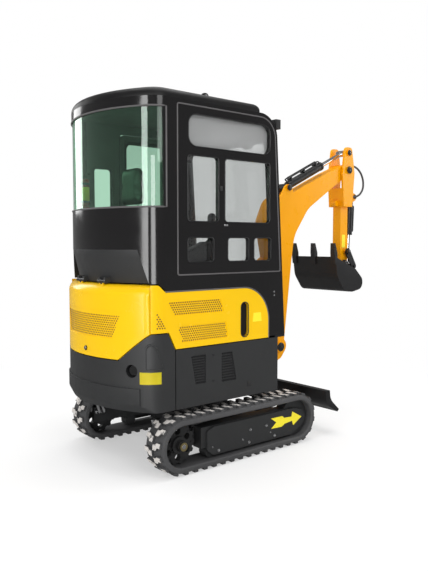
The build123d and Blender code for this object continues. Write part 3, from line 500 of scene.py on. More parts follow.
def makeTrack(name, side, node):
    spec = trackShape
    length = 2 * (spec["axleGap"] + math.pi * spec["pitchRadius"])
    bm = bmesh.new()
    ring = [bm.verts.new((x, 0.0, out)) for x, out in spec["section"]]
    edges = [bm.edges.new(pair) for pair in zip(ring, ring[1:] + ring[:1])]
    for step in range(spec["steps"]):
        made = bmesh.ops.extrude_edge_only(bm, edges=edges)["geom"]
        bmesh.ops.translate(bm, verts=onlyVerts(made), vec=(0.0, length / spec["steps"], 0.0))
        edges = [g for g in made if isinstance(g, bmesh.types.BMEdge)]
    feet = []
    for row in (0, 1):
        for i in range(spec["lugs"]):
            s = (i + row / 2) * length / spec["lugs"]
            corners = [(x * (1 - 2 * row), s + a, spec["lugFoot"]) for a, x in spec["lug"]]
            face = bm.faces.new([bm.verts.new(c) for c in corners])
            face.normal_update()
            if face.normal.z < 0:
                face.normal_flip()
            feet.append(face)
    tops = bmesh.ops.extrude_discrete_faces(bm, faces=feet)["faces"]
    rise = spec["lugTop"] - spec["lugEdge"] - spec["lugFoot"]
    bmesh.ops.translate(bm, verts=list({v for f in tops for v in f.verts}), vec=(0.0, 0.0, rise))
    bmesh.ops.inset_individual(bm, faces=tops, thickness=spec["lugEdge"], depth=spec["lugEdge"])
    paintFaces(tops, 1)
    for vert in bm.verts:
        y, z = wrapBelt(vert.co.y, vert.co.z)
        vert.co = Vector((side * (spec["middle"] + vert.co.x), y, z)) * mm
    bmesh.ops.remove_doubles(bm, verts=bm.verts[:], dist=spec["seam"] * mm)
    obj = makePiece(name, bm, "rubber lugTop", "undercarriage", 30)
    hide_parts(node)


arrow = {
    "outline": ((549, 174), (457, 223), (449, 189), (378, 193), (359, 208), (253, 209), (303, 175),
                (256, 140), (354, 136), (382, 151), (455, 160), (466, 127)),
    "ends": (513.8, 514.6),
}
beamBolts = {"face": 514, "large": ((68, 170), (56, 89), (211, 170), (287, 89), (-201, 89)), "largeSize": 9,
             "small": ((-250, 118), (0, 118), (250, 118)), "smallSize": 5}
wheel = {"y": -490, "z": 175, "rim": (539.5, 541.5, 26), "nut": (526, 540.2, 21), "stud": (538, 542, 15, 13),
         "bolts": 9, "boltCircle": 100, "boltFace": 478, "boltSize": 6}
fittings = {"rows": ((-545, 318), (-508, 288)), "height": 205, "tube": 10, "nut": 15, "nutEnds": (406, 388),
            "bend": ((390, 0, 0), (366, 0, 0), (356, -2, 3), (350, -6, 11), (348, -10, 25)),
            "pipeEnd": (-28, 20), "cap": (-26, -34, 26)}


def makeUndercarriage():
    y, z = wheel["y"], wheel["z"]
    for side, word in sides:
        bm = bmesh.new()
        addPlate(bm, arrow["outline"], "yz", *[side * x for x in arrow["ends"]])
        makePiece("directionArrow" + word, bm, "decal", "undercarriage")
        bm = bmesh.new()
        for group in ("large", "small"):
            for spot in beamBolts[group]:
                addBolt(bm, (side * beamBolts["face"], *spot), (side, 0, 0), beamBolts[group + "Size"])
        makePiece("beamBolts" + word, bm, "steel", "undercarriage")
        bm = bmesh.new()
        inner, outer, radius = wheel["rim"]
        addRound(bm, (side * inner, y, z), (side * outer, y, z), radius, count=32, soft=0.6)
        inner, outer, radius = wheel["nut"]
        addRound(bm, (side * inner, y, z), (side * outer, y, z), radius, count=6, soft=2)
        inner, outer, radius, tip = wheel["stud"]
        addRound(bm, (side * inner, y, z), (side * outer, y, z), radius, tip, soft=0.6, mat=1)
        makePiece("wheelNut" + word, bm, "brass steel", "undercarriage")
        bm = bmesh.new()
        for k in range(wheel["bolts"]):
            a, circle = 2 * math.pi * k / wheel["bolts"], wheel["boltCircle"]
            at = (side * wheel["boltFace"], y + circle * math.cos(a), z + circle * math.sin(a))
            addBolt(bm, at, (side, 0, 0), wheel["boltSize"])
        makePiece("wheelBolts" + word, bm, "iron", "undercarriage")
        bm = bmesh.new()
        low, nut = fittings["height"], fittings["nut"]
        capLow, capHigh, capTall = fittings["cap"]
        pipeY, pipeDrop = fittings["pipeEnd"]
        for rowY, top in fittings["rows"]:
            first, last = fittings["nutEnds"]
            addRound(bm, (side * first, rowY, low), (side * last, rowY, low), nut, count=6, soft=2)
            bend = [(side * a, rowY + b, low + c) for a, b, c in fittings["bend"]]
            end = bend[-1][0]
            addTube(bm, bend + [(end, rowY + pipeY, top - pipeDrop)], fittings["tube"], 16)
            capFoot, capTop = (end, rowY + capLow, top - capTall), (end, rowY + capHigh, top)
            addRound(bm, capFoot, capTop, nut, count=6, soft=2)
        makePiece("motorFittings" + word, bm, "steel", "undercarriage")
    print("undercarriage dressed")


holeGrid = {"radius": 5.4, "along": 16.0, "up": 13.2, "sink": 2.6}
hoodField = {"outline": ((-322, 950), (322, 950), (258, 820), (-258, 820)), "margin": 9}
coverFields = {
    "Right": (((-572, 1031), (-173, 1031), (-146, 952), (-530, 952)),
              ((-503, 888), (-128, 888), (-115, 789), (-472, 789))),
    "Left": (((-572, 1031), (-392, 1031), (-372, 952), (-530, 952)),
             ((-503, 888), (-380, 888), (-372, 789), (-472, 789))),
    "corner": ((555, 990), (555, 878), (612, 878)), "cornerLift": 0.3, "margin": 7,
}


def inside(point, polygon):
    hit = False
    x, y = point
    for (x0, y0), (x1, y1) in zip(polygon, polygon[1:] + polygon[:1]):
        if (y0 > y) != (y1 > y) and x < x0 + (y - y0) * (x1 - x0) / (y1 - y0):
            hit = not hit
    return hit


def shrink(points, amount):
    centre = sum((Vector(p) for p in points), Vector((0, 0))) / len(points)
    return [tuple(Vector(p) - (Vector(p) - centre).normalized() * amount) for p in points]


# Rows of small round discs inside a polygon, laid on the surface that place gives; their brown is painted
# shade that stands for the shaded yellow inside holes
def addHoles(bm, polygon, place):
    lowA, lowZ = min(p[0] for p in polygon), min(p[1] for p in polygon)
    rows = int((max(p[1] for p in polygon) - lowZ) / holeGrid["up"]) + 1
    columns = int((max(p[0] for p in polygon) - lowA) / holeGrid["along"]) + 2
    for row in range(rows):
        z = lowZ + holeGrid["up"] * (row + 0.5)
        for column in range(columns):
            a = lowA + holeGrid["along"] * (column + (row % 2) * 0.5)
            if inside((a, z), polygon):
                spot, normal = place(a, z)
                bmesh.ops.create_circle(bm, cap_ends=True, segments=6, radius=holeGrid["radius"] * mm,
                                        matrix=Matrix.Translation(spot * mm) @ turnTo(normal))


def makeGrilles():
    def onHood(x, z):
        return tailSpot(x, z, holeGrid["sink"])

    def onSide(y, z):
        return Vector((side * (housePlan["half"] - holeGrid["sink"]), y, z)), Vector((side, 0, 0))

    def onCorner(s, z):
        x, y, normal = houseLine(s, coverFields["cornerLift"])
        return Vector((x, y, z)), normal

    bm = bmesh.new()
    addHoles(bm, shrink(hoodField["outline"], hoodField["margin"]), onHood)
    makePiece("hoodHoles", bm, "holeShade", "hood")
    for side, word in sides:
        bm = bmesh.new()
        for field in coverFields[word]:
            addHoles(bm, shrink(field, coverFields["margin"]), onSide)
        addHoles(bm, [(side * a, z) for a, z in coverFields["corner"]], onCorner)
        makePiece("coverHoles" + word, bm, "holeShade", "house")


tailSticker = {"run": (449, 579), "heights": (561, 631), "columns": 14, "lift": 0.3, "thick": 0.2}
coverSticker = {"outline": ((96, 868), (176, 868), (168, 926), (104, 926)), "ends": (499.9, 500.4)}
gripSlot = {"outline": ((-2.6, 779.4, 28.6), (56.6, 779.4, 28.6), (56.6, 997.6, 28.6), (-2.6, 997.6, 28.6)),
            "floor": (482.4, 483.4), "wall": 491.5, "wallBead": 1.2,
            "rim": ((-5, 777, 31), (59, 777, 31), (59, 1000, 31), (-5, 1000, 31)), "rimFace": 500.2,
            "rimBead": 3.0}
exhaust = {"x": 380, "z": 634, "bars": ((-66, -26, 29), (-68, -58, 36)), "mouth": (-26.2, -25.4, 25)}
hoodLock = {"x": 18, "z": 737, "ring": (1, -5, 15, 2), "core": (-4, -9, 10, 1), "key": (1.5, 6),
            "keyEnds": (-9.4, -8.8)}


def makeHouse():
    makeGrilles()
    bm = bmesh.new()
    (start, end), (low, high) = tailSticker["run"], tailSticker["heights"]
    bmesh.ops.create_grid(bm, x_segments=tailSticker["columns"], y_segments=1, size=0.5)
    for vert in bm.verts:
        x, y, normal = houseLine(start + (vert.co.x + 0.5) * (end - start), tailSticker["lift"])
        vert.co = Vector((x, y, low + (vert.co.y + 0.5) * (high - low))) * mm
    bmesh.ops.solidify(bm, geom=bm.faces[:], thickness=tailSticker["thick"] * mm)
    makePiece("plainStickerTail", bm, "decal", "house")
    bm = bmesh.new()
    addPlate(bm, coverSticker["outline"], "yz", *coverSticker["ends"])
    makePiece("plainStickerCover", bm, "decal", "house")
    bm = bmesh.new()
    # The slot's floor and inner wall bead are near-black, painted shade inside the hand hole
    addPlate(bm, gripSlot["outline"], "yz", *gripSlot["floor"], steps=8)
    rim, wall = roundLine(gripSlot["rim"]), roundLine(gripSlot["outline"])
    addTube(bm, [(gripSlot["rimFace"], y, z) for y, z in rim], gripSlot["rimBead"], 8, True, mat=1)
    addTube(bm, [(gripSlot["wall"], y, z) for y, z in wall], gripSlot["wallBead"], 6, True)
    makePiece("gripSlot", bm, "void black", "house")
    for side, word in sides:
        makeSide(side, word)
    bm = bmesh.new()
    mouth, outward = tailSpot(exhaust["x"], exhaust["z"])
    for start, end, radius in exhaust["bars"]:
        addRound(bm, mouth + outward * start, mouth + outward * end, radius, count=32, soft=1.5)
    # The disc deep in the pipe is near-black, painted shade for the pipe's dark inside
    start, end, radius = exhaust["mouth"]
    addRound(bm, mouth + outward * start, mouth + outward * end, radius, count=32, mat=1)
    makePiece("exhaustPipe", bm, "iron void", "house")
    bm = bmesh.new()
    lock, outward = tailSpot(hoodLock["x"], hoodLock["z"])
    for k, group in enumerate(("ring", "core")):
        start, end, radius, soft = hoodLock[group]
        ends = [lock + Vector((0, y, 0)) for y in (start, end)]
        addRound(bm, *ends, radius, count=28, soft=soft, mat=k)
    # The key slot is a near-black plate, painted shade in the keyhole
    wide, tall = hoodLock["key"]
    key = [(lock.x + a * wide, lock.z + b * tall) for a, b in ((-1, -1), (1, -1), (1, 1), (-1, 1))]
    addPlate(bm, key, "xz", *[lock.y + y for y in hoodLock["keyEnds"]], mat=2)
    makePiece("hoodLock", bm, "plastic steel void", "hood")
    print("house dressed")


coverTrim = {"start": -590, "top": 1093, "bottom": 752, "Right": (241, 223), "Left": (-333, 23), "face": 497,
             "radius": 5.5, "steps": 14}
louvres = {"fields": (((-405, 700), (-291, 700), (-291, 525), (-370, 525)),
                      ((-165, 696), (-80, 696), (-41, 512), (-165, 512))),
           "count": 11, "margin": 6, "slat": ((494.2, -5), (498.8, -3), (498.8, 0), (494.2, 2))}
skirtBolts = {"face": 500, "spots": ((-232, 690), (-232, 530)), "size": 7,
              "pad": ((52, 452, 6), (88, 452, 6), (88, 488, 6), (52, 488, 6)), "padEnds": (499.5, 502),
              "padSoft": 0.8}
tailCrease = {"arch": ((487, 770), (500, 787), (517, 794), (534, 786), (550, 766)), "archRadius": 6.5,
              "archLift": 1.0,
              "lines": (((489, 766), (488, 648)), ((554, 756), (592, 650)), ((488, 648), (592, 648))),
              "lineRadius": 2.6, "lineLift": 0.4, "steps": 8}


# Trim, louvres, bolts and creases on one side of the house
def makeSide(side, word):
    bm = bmesh.new()
    front, radius = coverTrim[word]
    top = coverTrim["top"]
    corners = [(coverTrim["start"], top), (front, top, radius), (front, coverTrim["bottom"])]
    line = roundLine(corners, coverTrim["steps"])
    addTube(bm, [(side * coverTrim["face"], y, z) for y, z in line], coverTrim["radius"])
    makePiece("coverTrim" + word, bm, "seal", "house")
    bm = bmesh.new()
    for field in louvres["fields"]:
        top, bottom = field[0][1], field[2][1]
        for k in range(louvres["count"]):
            share = (k + 0.5) / louvres["count"]
            z = top - (top - bottom) * share
            left = field[0][0] + (field[3][0] - field[0][0]) * share + louvres["margin"]
            right = field[1][0] + (field[2][0] - field[1][0]) * share - louvres["margin"]
            addPlate(bm, [(side * x, z + rise) for x, rise in louvres["slat"]], "xz", left, right)
    makePiece("skirtLouvres" + word, bm, "black", "house")
    bm = bmesh.new()
    for y, z in skirtBolts["spots"]:
        addBolt(bm, (side * skirtBolts["face"], y, z), (side, 0, 0), skirtBolts["size"])
    addPlate(bm, skirtBolts["pad"], "yz", *[side * x for x in skirtBolts["padEnds"]], skirtBolts["padSoft"])
    makePiece("skirtBolts" + word, bm, "iron", "house")
    bm = bmesh.new()
    line = [(*houseLine(side * s, tailCrease["archLift"])[:2], z) for s, z in tailCrease["arch"]]
    addTube(bm, line, tailCrease["archRadius"], 12)
    shares = [k / tailCrease["steps"] for k in range(tailCrease["steps"] + 1)]
    for (s0, z0), (s1, z1) in tailCrease["lines"]:
        runs = [houseLine(side * (s0 + (s1 - s0) * k), tailCrease["lineLift"]) for k in shares]
        line = [(x, y, z0 + (z1 - z0) * k) for (x, y, normal), k in zip(runs, shares)]
        addTube(bm, line, tailCrease["lineRadius"], 8)
    makePiece("tailCrease" + word, bm, "panel", "house")


sidePanes = {
    "panes": ((-420, 245, 1942, 2130, 60), (-427, -190, 1503, 1890, 22), (-140, 245, 1503, 1890, 22),
              (-427, -228, 1262, 1408, 22), (-116, 61, 1262, 1408, 22), (105, 258, 1262, 1408, 22)),
    "face": 499.6, "bead": 3.5,
    "panel": ((-500, 1188, 12), (344, 1188, 12), (284, 2178, 128), (-500, 2178, 12)),
    "panelFace": 499.4, "panelBead": 4.5,
}
windowLatch = {
    "handle": ((-186, 1690, 4), (-166, 1690, 4), (-166, 1722, 4), (-186, 1722, 4)), "handleEnds": (499, 509),
    "stop": ((-430, 1842, 6), (-404, 1842, 6), (-404, 1858, 6), (-430, 1858, 6)), "stopEnds": (499, 506),
    "bolts": ((-140, 1484, 6), (-122, 1484, 6), (290, 1052, 5), (290, 1030, 5)),
}
rearBead = {"half": 588, "steps": 60, "heights": (1582, 2150), "grow": -1.0, "radius": 5.5}
doorTrim = {
    "panes": (((-240, 960, 40), (250, 960, 40), (250, 1440, 40), (-240, 1440, 40)),
              ((-240, 1558, 50), (225, 1558, 50), (225, 2085, 50), (-240, 2085, 50))),
    "face": -499.6, "bead": 3.5, "handleRadius": 7,
    "handle": ((-502, 192, 1500), (-528, 196, 1500), (-534, 180, 1500), (-534, 110, 1500), (-528, 96, 1500),
               (-500, 98, 1500)),
}
eyePin = {"place": (410, -225, 2271), "half": 17, "radius": 6}
console = {"outline": ((-252, 1160), (-66, 1160), (-58, 1300, 20), (-92, 1376, 22), (-150, 1384, 26),
                       (-336, 1306, 16), (-336, 1268, 16), (-262, 1244, 30)), "ends": (256, 336), "soft": 9}
lever = {"place": (296, -104, 1348), "lean": 0.12, "wide": 1.15, "steps": 24, "seam": 0.01,
         "profile": ((0, 0), (34, 0), (33, 10), (26, 16), (28, 24), (21, 30), (22, 38), (13, 46), (10, 90),
                     (17, 98), (21, 120), (19, 150), (23, 176), (25, 196), (19, 212), (8, 219), (0, 219))}
bottle = {"foot": (-415, -608, 1600), "height": 205, "radius": 33, "shoulder": 14, "label": (60, 150, 33.4),
          "neck": (200, 228, 13), "straps": (45, 165), "strap": 14, "strapGrow": 2, "wall": -468,
          "plateHalf": 12, "plateGap": 1, "lever": ((0, -8, 222), (0, 12, 234), (4, 40, 244)), "tube": 6,
          "pipe": ((0, 6, 218), (-12, 26, 205), (-22, 30, 150), (-20, 30, 60))}
cabMirror = {"arm": ((470, 262, 2052), (440, 250, 2058), (390, 232, 2050), (350, 215, 2046)), "armRadius": 6,
             "place": (330, 200, 2040), "size": (62, 26, 46), "cut": -14, "rim": 3}
lampLens = {"margin": 5, "corner": 5, "sink": 1, "proud": 1.2}


def makeCab():
    bm = bmesh.new()
    for y0, y1, z0, z1, r in sidePanes["panes"]:
        line = roundLine([(y0, z0, r), (y1, z0, r), (y1, z1, r), (y0, z1, r)])
        addTube(bm, [(sidePanes["face"], y, z) for y, z in line], sidePanes["bead"], 8, True)
    makePiece("windowSealsRight", bm, "black", "house")
    bm = bmesh.new()
    line = roundLine(sidePanes["panel"], 10)
    addTube(bm, [(sidePanes["panelFace"], y, z) for y, z in line], sidePanes["panelBead"], 10, True)
    makePiece("panelSealRight", bm, "seal", "house")
    bm = bmesh.new()
    for group in ("handle", "stop"):
        addPlate(bm, windowLatch[group], "yz", *windowLatch[group + "Ends"], 1.5)
    for y, z, size in windowLatch["bolts"]:
        addBolt(bm, (housePlan["half"], y, z), (1, 0, 0), size, 1)
    makePiece("windowLatch", bm, "plastic steel", "house")
    bm = bmesh.new()
    half, steps = rearBead["half"], rearBead["steps"]
    spots = [half * (2 * k / steps - 1) for k in range(steps + 1)]
    runs = [houseLine(s, rearBead["grow"], housePlan["cabTail"]) for s in spots]
    low, high = rearBead["heights"]
    loop = [(x, y, low) for x, y, normal in runs] + [(x, y, high) for x, y, normal in reversed(runs)]
    addTube(bm, loop, rearBead["radius"], 10, True)
    makePiece("rearWindowBead", bm, "seal", "house")
    bm = bmesh.new()
    for pane in doorTrim["panes"]:
        addTube(bm, [(doorTrim["face"], y, z) for y, z in roundLine(pane)], doorTrim["bead"], 8, True)
    addTube(bm, doorTrim["handle"], doorTrim["handleRadius"], 12)
    makePiece("doorSeals", bm, "black", "door")
    bm = bmesh.new()
    at, half = Vector(eyePin["place"]), Vector((eyePin["half"], 0, 0))
    addRound(bm, at - half, at + half, eyePin["radius"], count=16, soft=1)
    makePiece("eyePin", bm, "steel", "house")
    for side, word in sides:
        makeControls(side, word)
    makeBottle()
    makeMirror()
    low, high = [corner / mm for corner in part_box("work_light")]
    edge, corner = lampLens["margin"], lampLens["corner"]
    lens = [(x, z, corner) for x, z in ((low.x + edge, low.z + edge), (high.x - edge, low.z + edge),
                                        (high.x - edge, high.z - edge), (low.x + edge, high.z - edge))]
    bm = bmesh.new()
    addPlate(bm, lens, "xz", high.y - lampLens["sink"], high.y + lampLens["proud"], 0.6)
    makePiece("lampLens", bm, "lens", "house")
    print("cab dressed")


def makeControls(side, word):
    bm = bmesh.new()
    addPlate(bm, console["outline"], "yz", *[side * x for x in console["ends"]], console["soft"], steps=6)
    makePiece("armConsole" + word, bm, "plastic", "house", 50)
    bm = bmesh.new()
    verts = [bm.verts.new((radius * mm, 0.0, rise * mm)) for radius, rise in lever["profile"]]
    edges = [bm.edges.new(pair) for pair in zip(verts, verts[1:])]
    bmesh.ops.spin(bm, geom=verts + edges, cent=(0, 0, 0), axis=(0, 0, 1), angle=2 * math.pi,
                   steps=lever["steps"], use_merge=True)
    bmesh.ops.remove_doubles(bm, verts=bm.verts[:], dist=lever["seam"] * mm)
    x, y, z = lever["place"]
    lean = Matrix(((1, 0, 0), (0, lever["wide"], lever["lean"]), (0, 0, 1))).to_4x4()
    place = Matrix.Translation(Vector((side * x, y, z)) * mm)
    bmesh.ops.transform(bm, matrix=place @ lean, verts=bm.verts[:])
    makePiece("leverGrip" + word, bm, "vinyl", "house", 60)


def makeBottle():
    bm = bmesh.new()
    foot, up = Vector(bottle["foot"]), Vector((0, 0, 1))
    addRound(bm, foot, foot + up * bottle["height"], bottle["radius"], count=32, soft=bottle["shoulder"],
             steps=4)
    start, end, radius = bottle["label"]
    addRound(bm, foot + up * start, foot + up * end, radius, count=32, mat=1)
    start, end, radius = bottle["neck"]
    addRound(bm, foot + up * start, foot + up * end, radius, count=20, soft=2, mat=2)
    for line in ("lever", "pipe"):
        addTube(bm, [foot + Vector(step) for step in bottle[line]], bottle["tube"], 8, mat=2)
    for rise in bottle["straps"]:
        low, high = foot.z + rise, foot.z + rise + bottle["strap"]
        band = bottle["radius"] + bottle["strapGrow"]
        addRound(bm, (foot.x, foot.y, low), (foot.x, foot.y, high), band, count=32, soft=1, mat=2)
        inner = foot.x - bottle["radius"] - bottle["plateGap"]
        plate = [(inner, low), (bottle["wall"], low), (bottle["wall"], high), (inner, high)]
        addPlate(bm, plate, "xz", foot.y - bottle["plateHalf"], foot.y + bottle["plateHalf"], 1.5, 2)
    makePiece("fireBottle", bm, "red decal black", "house", 40)


def makeMirror():
    bm = bmesh.new()
    bmesh.ops.create_uvsphere(bm, u_segments=32, v_segments=16, radius=mm)
    bmesh.ops.scale(bm, vec=cabMirror["size"], verts=bm.verts[:])
    everything = bm.verts[:] + bm.edges[:] + bm.faces[:]
    cut = bmesh.ops.bisect_plane(bm, geom=everything, plane_co=(0, cabMirror["cut"] * mm, 0),
                                 plane_no=(0, -1, 0), clear_outer=True)["geom_cut"]
    rim = [g for g in cut if isinstance(g, bmesh.types.BMEdge)]
    flat = bmesh.ops.edgeloop_fill(bm, edges=rim)["faces"]
    bmesh.ops.inset_region(bm, faces=flat, thickness=cabMirror["rim"] * mm, depth=0.0)
    paintFaces(flat, 1)
    bmesh.ops.translate(bm, verts=bm.verts[:], vec=Vector(cabMirror["place"]) * mm)
    addTube(bm, cabMirror["arm"], cabMirror["armRadius"], 10)
    makePiece("cabMirror", bm, "plastic gloss", "house", 50)


pins = {  # y, z, face and radius of the pin ends on each body
    "house": ((770, 585, 93, 34), (580, 645, 93, 26)),
    "boom": ((640, 1205, 65, 22), (884, 1800, 65, 24)),
    "stick": ((1569, 1979, 90, 30), (1566, 2120, 90, 24), (1690, 1765, 54, 18), (1566, 1205, 66, 22),
              (1584.1, 1302.8, 82, 20)),
}
# Start and end out from the face, share of the pin's radius, softness and sides
pinHead = {"plate": (-1, 5, 1.0, 1.5, 28), "boss": (5, 8, 0.55, 1, 24), "boltOut": 0.74, "boltSize": 3.2,
           "nipple": (8, 13, 3, 2)}
stickSticker = {"outline": ((1543, 1338, 4), (1583, 1338, 4), (1583, 1446, 4), (1543, 1446, 4)),
                "ends": (39.9, 40.5)}
stickPipes = {
    "base": (0, 884, 1800), "eye": (0, 1566, 2120), "halfGap": 14, "radius": 5.5,
    "clamps": (90, 250, 400), "clampHalf": (22, 7), "clampLift": 31, "clampTall": 26, "clampBack": 2,
    "line": ((70, 30), (60, 40), (56, 48), (90, 52), (240, 52), (400, 52), (430, 52), (444, 46), (448, 30)),
    "gland": (448, 471, 35),
}
bucketFittings = {
    "base": (0, 1690, 1765), "eye": (0, 1665.3, 1181.9), "gland": (302, 319, 31), "radius": 6,
    "ports": (62, 292), "port": (24, 44, 9),
    "line": ((292, 42), (288, 50), (276, 54), (200, 54), (120, 54), (84, 54), (72, 50), (68, 42)),
}


# Base point, direction of the rod and the direction square to it
def cylinderFrame(spec):
    base = Vector(spec["base"])
    along = (Vector(spec["eye"]) - base).normalized()
    return base, along, Vector((0, -along.z, along.y))


def makeArm():
    for body, spots in pins.items():
        bm = bmesh.new()
        for y, z, x, radius in spots:
            for side, word in sides:
                for group in ("plate", "boss"):
                    start, end, share, soft, count = pinHead[group]
                    ends = [(side * (x + out), y, z) for out in (start, end)]
                    addRound(bm, *ends, radius * share, count=count, soft=soft)
                face = side * (x + pinHead["plate"][1])
                addBolt(bm, (face, y, z + radius * pinHead["boltOut"]), (side, 0, 0), pinHead["boltSize"], 1)
                start, end, foot, tip = pinHead["nipple"]
                addRound(bm, (side * (x + start), y, z), (side * (x + end), y, z), foot, tip, count=10, mat=1)
        makePiece("pinHeads_" + body, bm, "iron steel", body)
    bm = bmesh.new()
    addPlate(bm, stickSticker["outline"], "yz", *stickSticker["ends"])
    makePiece("plainStickerStick", bm, "decal", "stick")
    bm = bmesh.new()
    base, along, up = cylinderFrame(stickPipes)
    for x in (-stickPipes["halfGap"], stickPipes["halfGap"]):
        aside = Vector((x, 0, 0))
        line = [base + aside + along * a + up * lift for a, lift in stickPipes["line"]]
        addTube(bm, line, stickPipes["radius"])
    half, run = stickPipes["clampHalf"]
    for a in stickPipes["clamps"]:
        first, last = [base + along * spot + up * stickPipes["clampLift"] for spot in (a - run, a + run)]
        low, high = first.z, first.z + stickPipes["clampTall"]
        clamp = [(-half, low), (half, low), (half, high), (-half, high)]
        addPlate(bm, clamp, "xz", first.y - stickPipes["clampBack"], last.y, 1.5)
    start, end, radius = stickPipes["gland"]
    addRound(bm, base + along * start, base + along * end, radius, count=32, soft=2)
    makePiece("stickCylinderPipes", bm, "black", "stick_barrel")
    bm = bmesh.new()
    base, along, front = cylinderFrame(bucketFittings)
    start, end, radius = bucketFittings["gland"]
    addRound(bm, base + along * start, base + along * end, radius, count=32, soft=2)
    start, end, radius = bucketFittings["port"]
    for a in bucketFittings["ports"]:
        port = base + along * a
        addRound(bm, port + front * start, port + front * end, radius, count=6, soft=1.5, mat=1)
    addTube(bm, [base + along * a + front * r for a, r in bucketFittings["line"]], bucketFittings["radius"])
    makePiece("bucketCylinderFittings", bm, "black steel", "bucket_barrel")
    print("arm dressed")


pads = {
    "seatCushion": {"low": (-200, -425, 996), "high": (200, -55, 1066), "node": "seat_cushion", "soft": 28,
                    "cap": 14, "grooveAxis": 0, "grooves": (-105, 0, 105), "face": 2},
    "seatBack": {"low": (-190, -521, 1096), "high": (190, -460, 1564), "node": "seat_back", "soft": 28,
                 "cap": 14, "grooveAxis": 2, "grooves": (1200, 1320, 1440), "face": 1},
    "headRest": {"low": (-116, -514, 1614), "high": (116, -462, 1850), "node": None, "soft": 22, "cap": 9,
                 "corner": 42, "taper": 0.88, "grooveAxis": 2, "grooves": (), "face": 1},
}
padCloth = {"voxel": 9, "pressure": 4.0, "frames": 20, "grooveWidth": 10, "grooveDepth": 7, "fill": 0.75,
            "facing": 0.4, "alongY": 0.9, "sharp": 1.2}
headPosts = {"x": 62, "y": -489, "ends": (1556, 1640), "radius": 8}


# A foam pad: a softened box blown up by a short cloth run, then its sewn channels pressed in
def makePad(name, spec):
    low, high, cap = Vector(spec["low"]), Vector(spec["high"]), spec["cap"]
    bm = bmesh.new()
    bmesh.ops.create_cube(bm, size=mm)
    bmesh.ops.scale(bm, vec=high - low, verts=bm.verts[:])
    bmesh.ops.scale(bm, vec=(spec.get("taper", 1.0), 1, 1), verts=[v for v in bm.verts if v.co.z > 0])
    bmesh.ops.translate(bm, vec=(low + high) / 2 * mm, verts=bm.verts[:])
    if "corner" in spec:
        runs = [(e, (e.verts[0].co - e.verts[1].co).normalized()) for e in bm.edges]
        soften(bm, [e for e, run in runs if abs(run.y) > padCloth["alongY"]], spec["corner"], 5)
        soften(bm, [e for e in bm.edges if e.calc_face_angle() > padCloth["sharp"]], spec["soft"], 3)
    else:
        soften(bm, bm.edges[:], spec["soft"], 3)
    mesh = bpy.data.meshes.new(name)
    bm.to_mesh(mesh)
    bm.free()
    obj = bpy.data.objects.new(name, mesh)
    bpy.context.scene.collection.objects.link(obj)
    remesh = obj.modifiers.new("remesh", "REMESH")
    remesh.mode = "VOXEL"
    remesh.voxel_size = padCloth["voxel"] * mm
    rest = bpy.data.meshes.new_from_object(obj.evaluated_get(bpy.context.evaluated_depsgraph_get()))
    obj.modifiers.clear()
    obj.data = rest
    start = [v.co.copy() for v in rest.vertices]
    cloth = obj.modifiers.new("cloth", "CLOTH")
    cloth.settings.use_pressure = True
    cloth.settings.uniform_pressure_force = padCloth["pressure"]
    cloth.settings.effector_weights.gravity = 0.0
    scene = bpy.context.scene
    for step in range(1, padCloth["frames"] + 1):
        scene.frame_set(step)
    grown = obj.evaluated_get(bpy.context.evaluated_depsgraph_get()).to_mesh()
    ends = [v.co.copy() for v in grown.vertices]
    obj.modifiers.clear()
    scene.frame_set(1)
    for v, first, last in zip(rest.vertices, start, ends):
        move = last - first
        v.co = first + move * min(1.0, cap * mm / max(move.length, 1e-9))
    axis, face = spec["grooveAxis"], spec["face"]
    for v in rest.vertices:
        if v.normal[face] > padCloth["facing"]:
            for at in spec["grooves"]:
                gap = (v.co[axis] / mm - at) / padCloth["grooveWidth"]
                v.co[face] -= padCloth["grooveDepth"] * mm * math.exp(-gap * gap)
        for i in range(3):
            v.co[i] = min(max(v.co[i], (low[i] - cap) * mm), (high[i] + cap) * mm)
    sub = obj.modifiers.new("smooth", "SUBSURF")
    sub.levels = sub.render_levels = 1
    rest.materials.clear()
    rest.materials.append(paints["vinyl"])
    for f in rest.polygons:
        f.use_smooth = True
    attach(obj, "house")
    if spec["node"]:
        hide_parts(spec["node"])


def makeSeat():
    for name, spec in pads.items():
        makePad(name, spec)
    bm = bmesh.new()
    low, high = headPosts["ends"]
    for x in (-headPosts["x"], headPosts["x"]):
        addRound(bm, (x, headPosts["y"], low), (x, headPosts["y"], high), headPosts["radius"], count=18)
    makePiece("headRestPosts", bm, "steel", "house")
    print("seat done")


floorLook = {"half": 60.0, "gap": 0.001, "grey": 0.92, "rough": 0.9, "level": 0.1, "near": 0.45,
             "fade": (1.2, 3.4), "reflected": 0.25}


